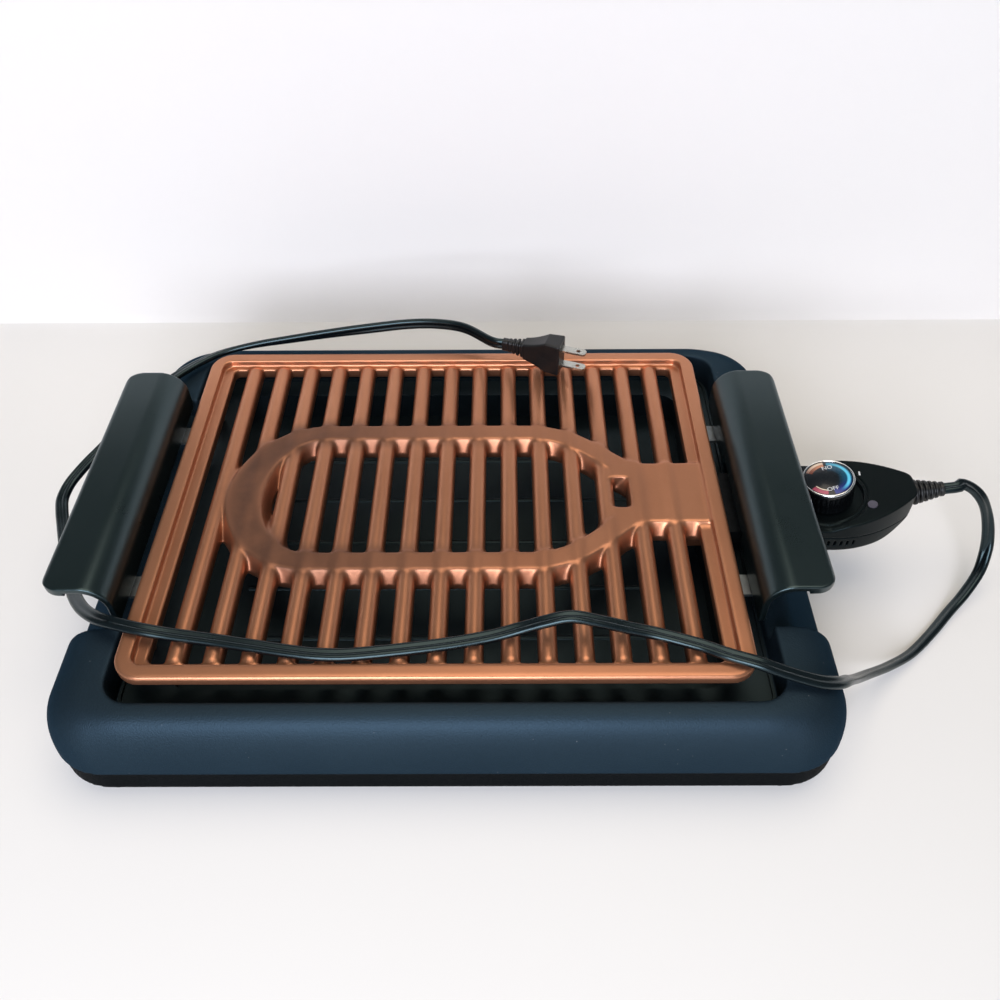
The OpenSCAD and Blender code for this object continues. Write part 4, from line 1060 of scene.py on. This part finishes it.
PLUG_FACE, PLUG_TURN = Vector((79, 119, 12.8)), -19.0


def relief_tip(beyond=0.0):
    """Where the cord leaves the strain relief, or a point straight beyond it."""
    return RELIEF_START + Vector((math.cos(LEAN), 0, math.sin(LEAN))) * (RELIEF_LENGTH + beyond)


def cord_rows():
    """The whole route: straight out of the strain relief, and straight into the plug's tail."""
    turn = math.radians(PLUG_TURN)
    ahead = Vector((math.cos(turn), math.sin(turn), 0))
    end = PLUG_FACE - ahead * (PLUG_SIZES["Body length"] + PLUG_SIZES["Tail length"])
    out = [(*relief_tip(), 0), (*relief_tip(9), 0)]
    return [*out, *CORD_FREE, (*(end - ahead * 9), 90), (*end, 90)]


# ---------------------------------------------------------------- what a user may change


def length(name, description, default):
    """A length a user may change; its default is in millimetres."""
    return bpy.props.FloatProperty(
        name=name,
        description=description,
        default=default * MM,
        precision=5,
        subtype="DISTANCE",
        unit="LENGTH",
    )


def colour(name, description, code):
    """A colour a user may change; its default is sRGB hex."""
    return bpy.props.FloatVectorProperty(
        name=name,
        description=description,
        default=linear(code)[:3],
        size=3,
        min=0,
        max=1,
        subtype="COLOR",
    )


class GrillPlateSettings(bpy.types.PropertyGroup):
    bar_width: length("Bar width", "Width of a cooking bar", PLATE_SIZES["Bar width"])
    bar_pitch: length("Bar pitch", "Distance between two bars", PLATE_SIZES["Bar pitch"])
    rim_width: length("Rim width", "Width of the rolled rim", PLATE_SIZES["Rim width"])
    voxel: length("Voxel", "Size of the cells the plate is grown in", 0.9)


class GrillBaseSettings(bpy.types.PropertyGroup):
    corner: length("Corner radius", "Corner radius of the widest outline", BASE_SIZES["Corner radius"])
    wall: length("Wall", "Thickness of the moulded wall", BASE_SIZES["Wall"])
    voxel: length("Voxel", "Size of the cells the base is grown in", 1.2)


class GrillHandleSettings(bpy.types.PropertyGroup):
    handle_length: length("Length", "Length of a handle", HANDLE_SIZES["Length"])
    shoulder: length("Shoulder", "Radius of the arched shoulder", HANDLE_SIZES["Shoulder"])
    voxel: length("Voxel", "Size of the cells a handle is grown in", 0.6)


class GrillControlSettings(bpy.types.PropertyGroup):
    flutes: bpy.props.IntProperty(
        name="Flutes", description="Number of grooves round the knob", default=30, min=6
    )
    voxel: length("Voxel", "Size of the cells the housing is grown in", 0.45)


class GrillCordSettings(bpy.types.PropertyGroup):
    width: length("Width", "Width of the flat twin cord", 8.2)
    thickness: length("Thickness", "Thickness of the flat twin cord", 4.4)
    spacing: length("Spacing", "Distance between two rings of the cord's mesh", 2.5)


class GrillStageSettings(bpy.types.PropertyGroup):
    floor: colour("Floor", "Colour of the floor", "#dfddd9")
    wall: colour("Backdrop", "Colour of the backdrop", "#ece9e6")
    light: bpy.props.FloatProperty(
        name="Light", description="Strength of the lamp in front", default=35.0, min=0
    )


SETTINGS = {
    "grill_plate_settings": GrillPlateSettings,
    "grill_base_settings": GrillBaseSettings,
    "grill_handle_settings": GrillHandleSettings,
    "grill_control_settings": GrillControlSettings,
    "grill_cord_settings": GrillCordSettings,
    "grill_stage_settings": GrillStageSettings,
}


# ---------------------------------------------------------------- operators


class PieceOperator:
    """What the grill's operators share."""

    bl_options = {"REGISTER", "UNDO"}


# How strongly each card glows of itself when it is looked at
GLOW = {"floor": 0.07, "backdrop": 0.05}


class GRILL_OT_stage(PieceOperator, bpy.types.Operator):
    """Make the floor, the backdrop, the soft lamps and the camera"""

    bl_idname = "grill.stage"
    bl_label = "Stage and camera"

    def execute(self, context):
        settings = context.scene.grill_stage_settings
        self.floor(settings)
        self.lamps(context.scene, settings.light)
        self.camera(context.scene)
        return {"FINISHED"}

    def floor(self, settings):
        """A card that bends up behind the object, in metres; the two halves differ in tone."""
        front, fold, high, wide, bend, mid = -1.6, 0.285, 0.29, 3.0, 0.012, 0.0035
        outline = [(front, 0.0), (fold - bend, 0.0), (fold - mid, mid), (fold, bend), (fold, high)]
        parts = (("floor", outline[:3], settings.floor), ("backdrop", outline[2:], settings.wall))
        for name, rows, tone in parts:
            bm = bmesh.new()
            lines = [[bm.verts.new((x, y, z)) for x in (-wide, wide)] for y, z in rows]
            for a, b in zip(lines, lines[1:]):
                bm.faces.new((a[0], a[1], b[1], b[0]))
            obj = solid_of(name, bm, self.paper(name, (*tone, 1.0)), 180.0)
            if obj.data.polygons[-1].normal.y > 0:
                obj.data.flip_normals()

    def paper(self, name, tone):
        """Matt card, its tone wandering a little; where it is seen or mirrored it glows a little
        too, so that it stays pale."""
        material, tree, shader, here = new_material("matt_card_" + name)
        broad = noise(tree, here, 400.0, 2.0)
        deeper = (*[c * 0.965 for c in tone[:3]], 1.0)
        colour_out = blended(tree, broad, deeper, tone)
        path = add(tree, "ShaderNodeLightPath")
        kinds = ("Is Camera Ray", "Is Glossy Ray", "Is Transmission Ray")
        seen, mirrored, through = [Field(tree, path.outputs[kind]) for kind in kinds]
        inputs = {
            "Base Color": colour_out,
            "Emission Color": colour_out,
            "Emission Strength": seen.at_least(mirrored).at_least(through) * GLOW[name],
            "Roughness": 0.85,
            "Specular IOR Level": 0.1,
        }
        feed(shader, inputs)
        if name == "backdrop":
            # from behind, the card is clear, so that the object shows from there too
            behind = add(tree, "ShaderNodeNewGeometry").outputs["Backfacing"]
            clear = add(tree, "ShaderNodeBsdfTransparent").outputs[0]
            card = add(tree, "ShaderNodeMixShader", {0: behind, 1: shader.outputs[0], 2: clear})
            feed(tree.nodes["Material Output"], {"Surface": card.outputs[0]})
        return material

    def lamps(self, scene, strength):
        for name, place, aim, size, power, tint in (
            ("overhead_lamp", (0.1, 0.1, 1.7), (0, 0, 0), 1.3, strength * 0.4, "#fff0de"),
            ("window_lamp", (-0.25, -1.5, 0.8), (0, 0, 0.1), 1.0, strength, "#eef1ff"),
        ):
            light = bpy.data.lights.new(name, "AREA")
            light.shape = "SQUARE"
            light.size = size
            light.energy = power
            light.color = linear(tint)[:3]
            lamp = bpy.data.objects.new(name, light)
            lamp.location = place
            lamp.rotation_euler = (Vector(aim) - Vector(place)).to_track_quat("-Z", "Y").to_euler()
            scene.collection.objects.link(lamp)
        world = bpy.data.worlds.new("dim_room")
        world.use_nodes = True
        ground = world.node_tree.nodes["Background"]
        ground.inputs["Color"].default_value = linear("#e2f3f6")
        ground.inputs["Strength"].default_value = 0.18
        scene.world = world
        scene.view_settings.view_transform = "Standard"

    def camera(self, scene):
        """The photograph's camera: pitch, yaw and roll in degrees, and its place from the plate's
        middle in millimetres."""
        pitch, yaw, roll = [math.radians(a) for a in (46.535, -0.297, -0.414)]
        place = PLATE + Vector((37.2, -417.2, 429.9))
        level = math.cos(pitch)
        ahead = Vector((math.sin(yaw) * level, math.cos(yaw) * level, -math.sin(pitch)))
        across = Vector((math.cos(yaw), -math.sin(yaw), 0))
        above = across.cross(ahead)
        right = across * math.cos(roll) + above * math.sin(roll)
        top = above * math.cos(roll) - across * math.sin(roll)
        turn = Matrix((right, top, -ahead)).transposed().to_4x4()
        lens = bpy.data.cameras.new("photo_camera")
        lens.lens = 34.0
        lens.sensor_width = 36.0
        lens.clip_end = 20
        camera = bpy.data.objects.new("photo_camera", lens)
        camera.matrix_world = Matrix.Translation(place * MM) @ turn
        scene.collection.objects.link(camera)
        scene.camera = camera


class GRILL_OT_cord(PieceOperator, bpy.types.Operator):
    """Sweep the flat cord from the control, over the plate and round behind it, to the plug"""

    bl_idname = "grill.cord"
    bl_label = "Cord and plug"

    def execute(self, context):
        settings = context.scene.grill_cord_settings
        width, thickness = settings.width / MM, settings.thickness / MM
        rows = [(*(PLATE + Vector(row[:3])), row[3]) for row in cord_rows()]
        line = on_curve(rows, settings.spacing / MM)
        cord = swept("flat_cord", line, twin_section(width, thickness), plain_finish("cord"))
        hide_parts("cord_lead", "cord_run")
        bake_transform(cord)
        tree = plug_tree(PLUG_SIZES, 0.4)
        plug = grown("plug_moulding", tree, PLUG_SIZES, plain_finish("plug"), 60000)
        turn = Matrix.Rotation(math.radians(PLUG_TURN), 4, "Z")
        moved(plug, Matrix.Translation((PLATE + PLUG_FACE) * MM) @ turn)
        placed(plug, "plate", "cord_cover", "plug_body")
        return {"FINISHED"}


class GRILL_OT_plate(PieceOperator, bpy.types.Operator):
    """Grow the cast cooking plate with its bars and element ring"""

    bl_idname = "grill.plate"
    bl_label = "Cooking plate"

    def execute(self, context):
        settings = context.scene.grill_plate_settings
        sizes = {
            **PLATE_SIZES,
            "Bar width": settings.bar_width / MM,
            "Bar pitch": settings.bar_pitch / MM,
            "Rim width": settings.rim_width / MM,
        }
        finish = plate_finish(("#b07454", "#c88e6d"), "#553f36")
        tree = plate_tree(sizes, settings.voxel / MM)
        plate = grown("cast_plate", tree, sizes, finish, 195000)
        placed(plate, "plate", "plate_cast", "grill_plate")
        return {"FINISHED"}


class GRILL_OT_base(PieceOperator, bpy.types.Operator):
    """Grow the moulded base round the drip tray"""

    bl_idname = "grill.base"
    bl_label = "Base"

    def execute(self, context):
        settings = context.scene.grill_base_settings
        sizes = {**BASE_SIZES, "Corner radius": settings.corner / MM, "Wall": settings.wall / MM}
        finish = base_finish("#2a3843", "#34444f")
        tree = base_tree(sizes, settings.voxel / MM)
        base = grown("moulded_base", tree, sizes, finish, 195000)
        placed(base, "base", "base_plastic", "base_shell")
        return {"FINISHED"}


class GRILL_OT_handles(PieceOperator, bpy.types.Operator):
    """Grow the two side handles"""

    bl_idname = "grill.handles"
    bl_label = "Handles"

    def execute(self, context):
        settings = context.scene.grill_handle_settings
        finish = plain_finish("handle")
        sizes = {
            **HANDLE_SIZES,
            "Length": settings.handle_length / MM,
            "Shoulder": settings.shoulder / MM,
        }
        grips = (("left_grip", -1, 221.5, 0.0), ("right_grip", 1, 223.0, 34.5))
        for name, side, outer, notch in grips:
            sizes.update({"Reach": outer, "Notch": notch})
            tree = handle_tree(sizes, settings.voxel / MM, side)
            grip = grown(name, tree, sizes, finish, 60000)
            placed(grip, "plate", "handle_plastic", name.replace("grip", "handle"))
        return {"FINISHED"}


class GRILL_OT_control(PieceOperator, bpy.types.Operator):
    """Make the plug-in control: its shells, its strain relief and the mark beside the dial"""

    bl_idname = "grill.control"
    bl_label = "Control housing"

    def execute(self, context):
        step = context.scene.grill_control_settings.voxel / MM
        finish = plain_finish("control")
        for name, low, high, node in (
            ("upper_housing", -15.0, 20.0, "control_top"),
            ("lower_housing", -40.0, -15.0, "control_bottom"),
        ):
            tree = control_tree(CONTROL_SIZES, step, low, high)
            shell = grown(name, tree, CONTROL_SIZES, finish, 90000)
            placed(shell, "control", "control_plastic", node)
        self.relief(plain_finish("plug"))
        self.mark(plain_finish("legend"))
        return {"FINISHED"}

    def relief(self, finish):
        """A stack of tapering ribs round the cord, with deep grooves between them."""
        out, count = 3.2, 5
        pitch = (RELIEF_LENGTH - out - 2.6) / count
        profile = [(0, -4.0), (5.8, -4.0), (5.8, -2.0), (4.7, -2.0), (4.7, out)]
        for i in range(count):
            z, r, core = out + i * pitch, 8.2 - i * 0.68, 4.9 - i * 0.15
            profile += [(r, z), (r - 0.15, z + pitch * 0.58)]
            profile += [(core, z + pitch * 0.6), (core - 0.1, z + pitch)]
        profile += [(4.7, RELIEF_LENGTH - 2.5), (4.7, RELIEF_LENGTH - 0.4)]
        profile += [(4.3, RELIEF_LENGTH), (0, RELIEF_LENGTH)]
        stack = turned("ribbed_relief", rounded(profile, 0.5), 64, finish)
        place = Matrix.Translation((PLATE + RELIEF_START) * MM)
        moved(stack, place @ Matrix.Rotation(math.pi / 2 - LEAN, 4, "Y"))
        placed(stack, "control", "control_plastic", "strain_relief")

    def mark(self, finish):
        """The pale bar that the dial is read against."""
        bm = bmesh.new()
        bmesh.ops.create_cube(bm, size=1.0)
        bmesh.ops.scale(bm, vec=(3.4 * MM, 1.1 * MM, 0.5 * MM), verts=bm.verts)
        bmesh.ops.bevel(bm, geom=bm.edges[:], offset=0.18 * MM, segments=3, affect="EDGES")
        mark = solid_of("dial_mark", bm, finish)
        turn = Matrix.Rotation(math.radians(84), 4, "Z")
        moved(mark, at_dial() @ Matrix.Translation(Vector((23.6, 14.2, 0.1)) * MM) @ turn)
        placed(mark, "control", "dial_print")


# Middle, teal, cyan, navy, sand, orange, rust and red of the disc's print
PRINT_COLOURS = (
    "#0b1118", "#0c4c66", "#63cdf0", "#1c2c78", "#ecd8c0", "#c98a68", "#6e3524", "#a8485e",
)


class GRILL_OT_dial(PieceOperator, bpy.types.Operator):
    """Turn the fluted knob, its bright ring and its printed disc"""

    bl_idname = "grill.dial"
    bl_label = "Dial"

    def execute(self, context):
        flutes = context.scene.grill_control_settings.flutes

        def flute(angle, height):
            fade = min(max((11.2 - height) / 1.2, 0), 1)
            return 0.45 * fade * (0.5 + 0.5 * math.cos(angle * flutes)) ** 2

        low, top, face = -2.4, 15.0, 13.9
        steps = [(16.0, low + 0.5 + i * 0.8) for i in range(18)]
        rim = [(15.9, 12.4), (15.5, 13.2), (14.3, 13.3), (14.3, face)]
        profile = [(0, low), (15.6, low), *steps, *rim, (0, face)]
        knob = turned("fluted_knob", profile, flutes * 12, plain_finish("knob"), flute)
        inner, outer = [(14.7, 14.8), (14.55, 14.4), (14.55, 13.25)], [(16.0, 13.35), (16.0, 14.2)]
        profile = [inner[-1], *outer, (15.6, 14.85), (15.1, top), *inner]
        ring = turned("bright_ring", rounded(profile, 0.3), 180, plain_finish("bezel"))
        profile = [(0, face), (14.4, face), (14.4, 14.45), (14.2, 14.55), (0, 14.58)]
        disc = turned("printed_disc", profile, 180, dial_finish(PRINT_COLOURS))
        for piece, slot, node in (
            (knob, "dial_plastic", "dial_knob"),
            (ring, "dial_metal", "dial_ring"),
            (disc, "dial_print", "dial_face"),
        ):
            moved(piece, at_dial())
            placed(piece, "knob", slot, node)
        self.word("OFF", -86, 0.0)
        self.word("ON", 84, 180.0)
        return {"FINISHED"}

    def word(self, text, angle, turn):
        """ON or OFF, as a thin print on the disc, at an angle round it and turned on the spot."""
        radius, lean, height = 9.3, 8, 14.6
        curve = bpy.data.curves.new("dial_word", "FONT")
        curve.body = text
        curve.size = 4.2 * MM
        curve.extrude = 0.02 * MM
        curve.align_x = curve.align_y = "CENTER"
        obj = bpy.data.objects.new("dial_word_" + text.lower(), curve)
        bpy.context.scene.collection.objects.link(obj)
        depsgraph = bpy.context.evaluated_depsgraph_get()
        mesh = bpy.data.meshes.new_from_object(obj.evaluated_get(depsgraph))
        bpy.data.objects.remove(obj)
        mesh.materials.clear()
        mesh.materials.append(plain_finish("legend"))
        word = bpy.data.objects.new("dial_word_" + text.lower(), mesh)
        bpy.context.scene.collection.objects.link(word)
        a = math.radians(angle)
        place = Vector((radius * math.cos(a), radius * math.sin(a), height)) * MM
        turned_on_spot = Matrix.Rotation(math.radians(turn + lean), 4, "Z")
        moved(word, at_dial() @ Matrix.Translation(place) @ turned_on_spot)
        placed(word, "knob", "dial_print")


class GRILL_OT_fittings(PieceOperator, bpy.types.Operator):
    """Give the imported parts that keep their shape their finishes"""

    bl_idname = "grill.fittings"
    bl_label = "Fittings"

    def execute(self, context):
        for kind, nodes in NODE_FINISHES.items():
            for node in nodes:
                mesh = frame["nodes"][node].data
                mesh.materials.clear()
                mesh.materials.append(plain_finish(kind))
        return {"FINISHED"}


STEPS = [
    GRILL_OT_stage,
    GRILL_OT_cord,
    GRILL_OT_plate,
    GRILL_OT_base,
    GRILL_OT_handles,
    GRILL_OT_control,
    GRILL_OT_dial,
    GRILL_OT_fittings,
]


class GRILL_PT_pieces(bpy.types.Panel):
    """The grill's pieces, each with its button, and the sizes and colours they use"""

    bl_label = "Electric indoor grill"
    bl_idname = "GRILL_PT_pieces"
    bl_space_type = "VIEW_3D"
    bl_region_type = "UI"
    bl_category = "Grill"

    def draw(self, context):
        for step in STEPS:
            self.layout.operator(step.bl_idname)
        for name, group in SETTINGS.items():
            box = self.layout.box()
            for value in group.__annotations__:
                box.prop(getattr(context.scene, name), value)


def register():
    for cls in (*SETTINGS.values(), *STEPS, GRILL_PT_pieces):
        bpy.utils.register_class(cls)
    for name, group in SETTINGS.items():
        setattr(bpy.types.Scene, name, bpy.props.PointerProperty(type=group))


def unregister():
    for name in SETTINGS:
        delattr(bpy.types.Scene, name)
    for cls in (GRILL_PT_pieces, *reversed(STEPS), *reversed(SETTINGS.values())):
        bpy.utils.unregister_class(cls)


def main():
    register()
    for step in STEPS:
        family, name = step.bl_idname.split(".")
        getattr(getattr(bpy.ops, family), name)()


if __name__ == "__main__":
    main()
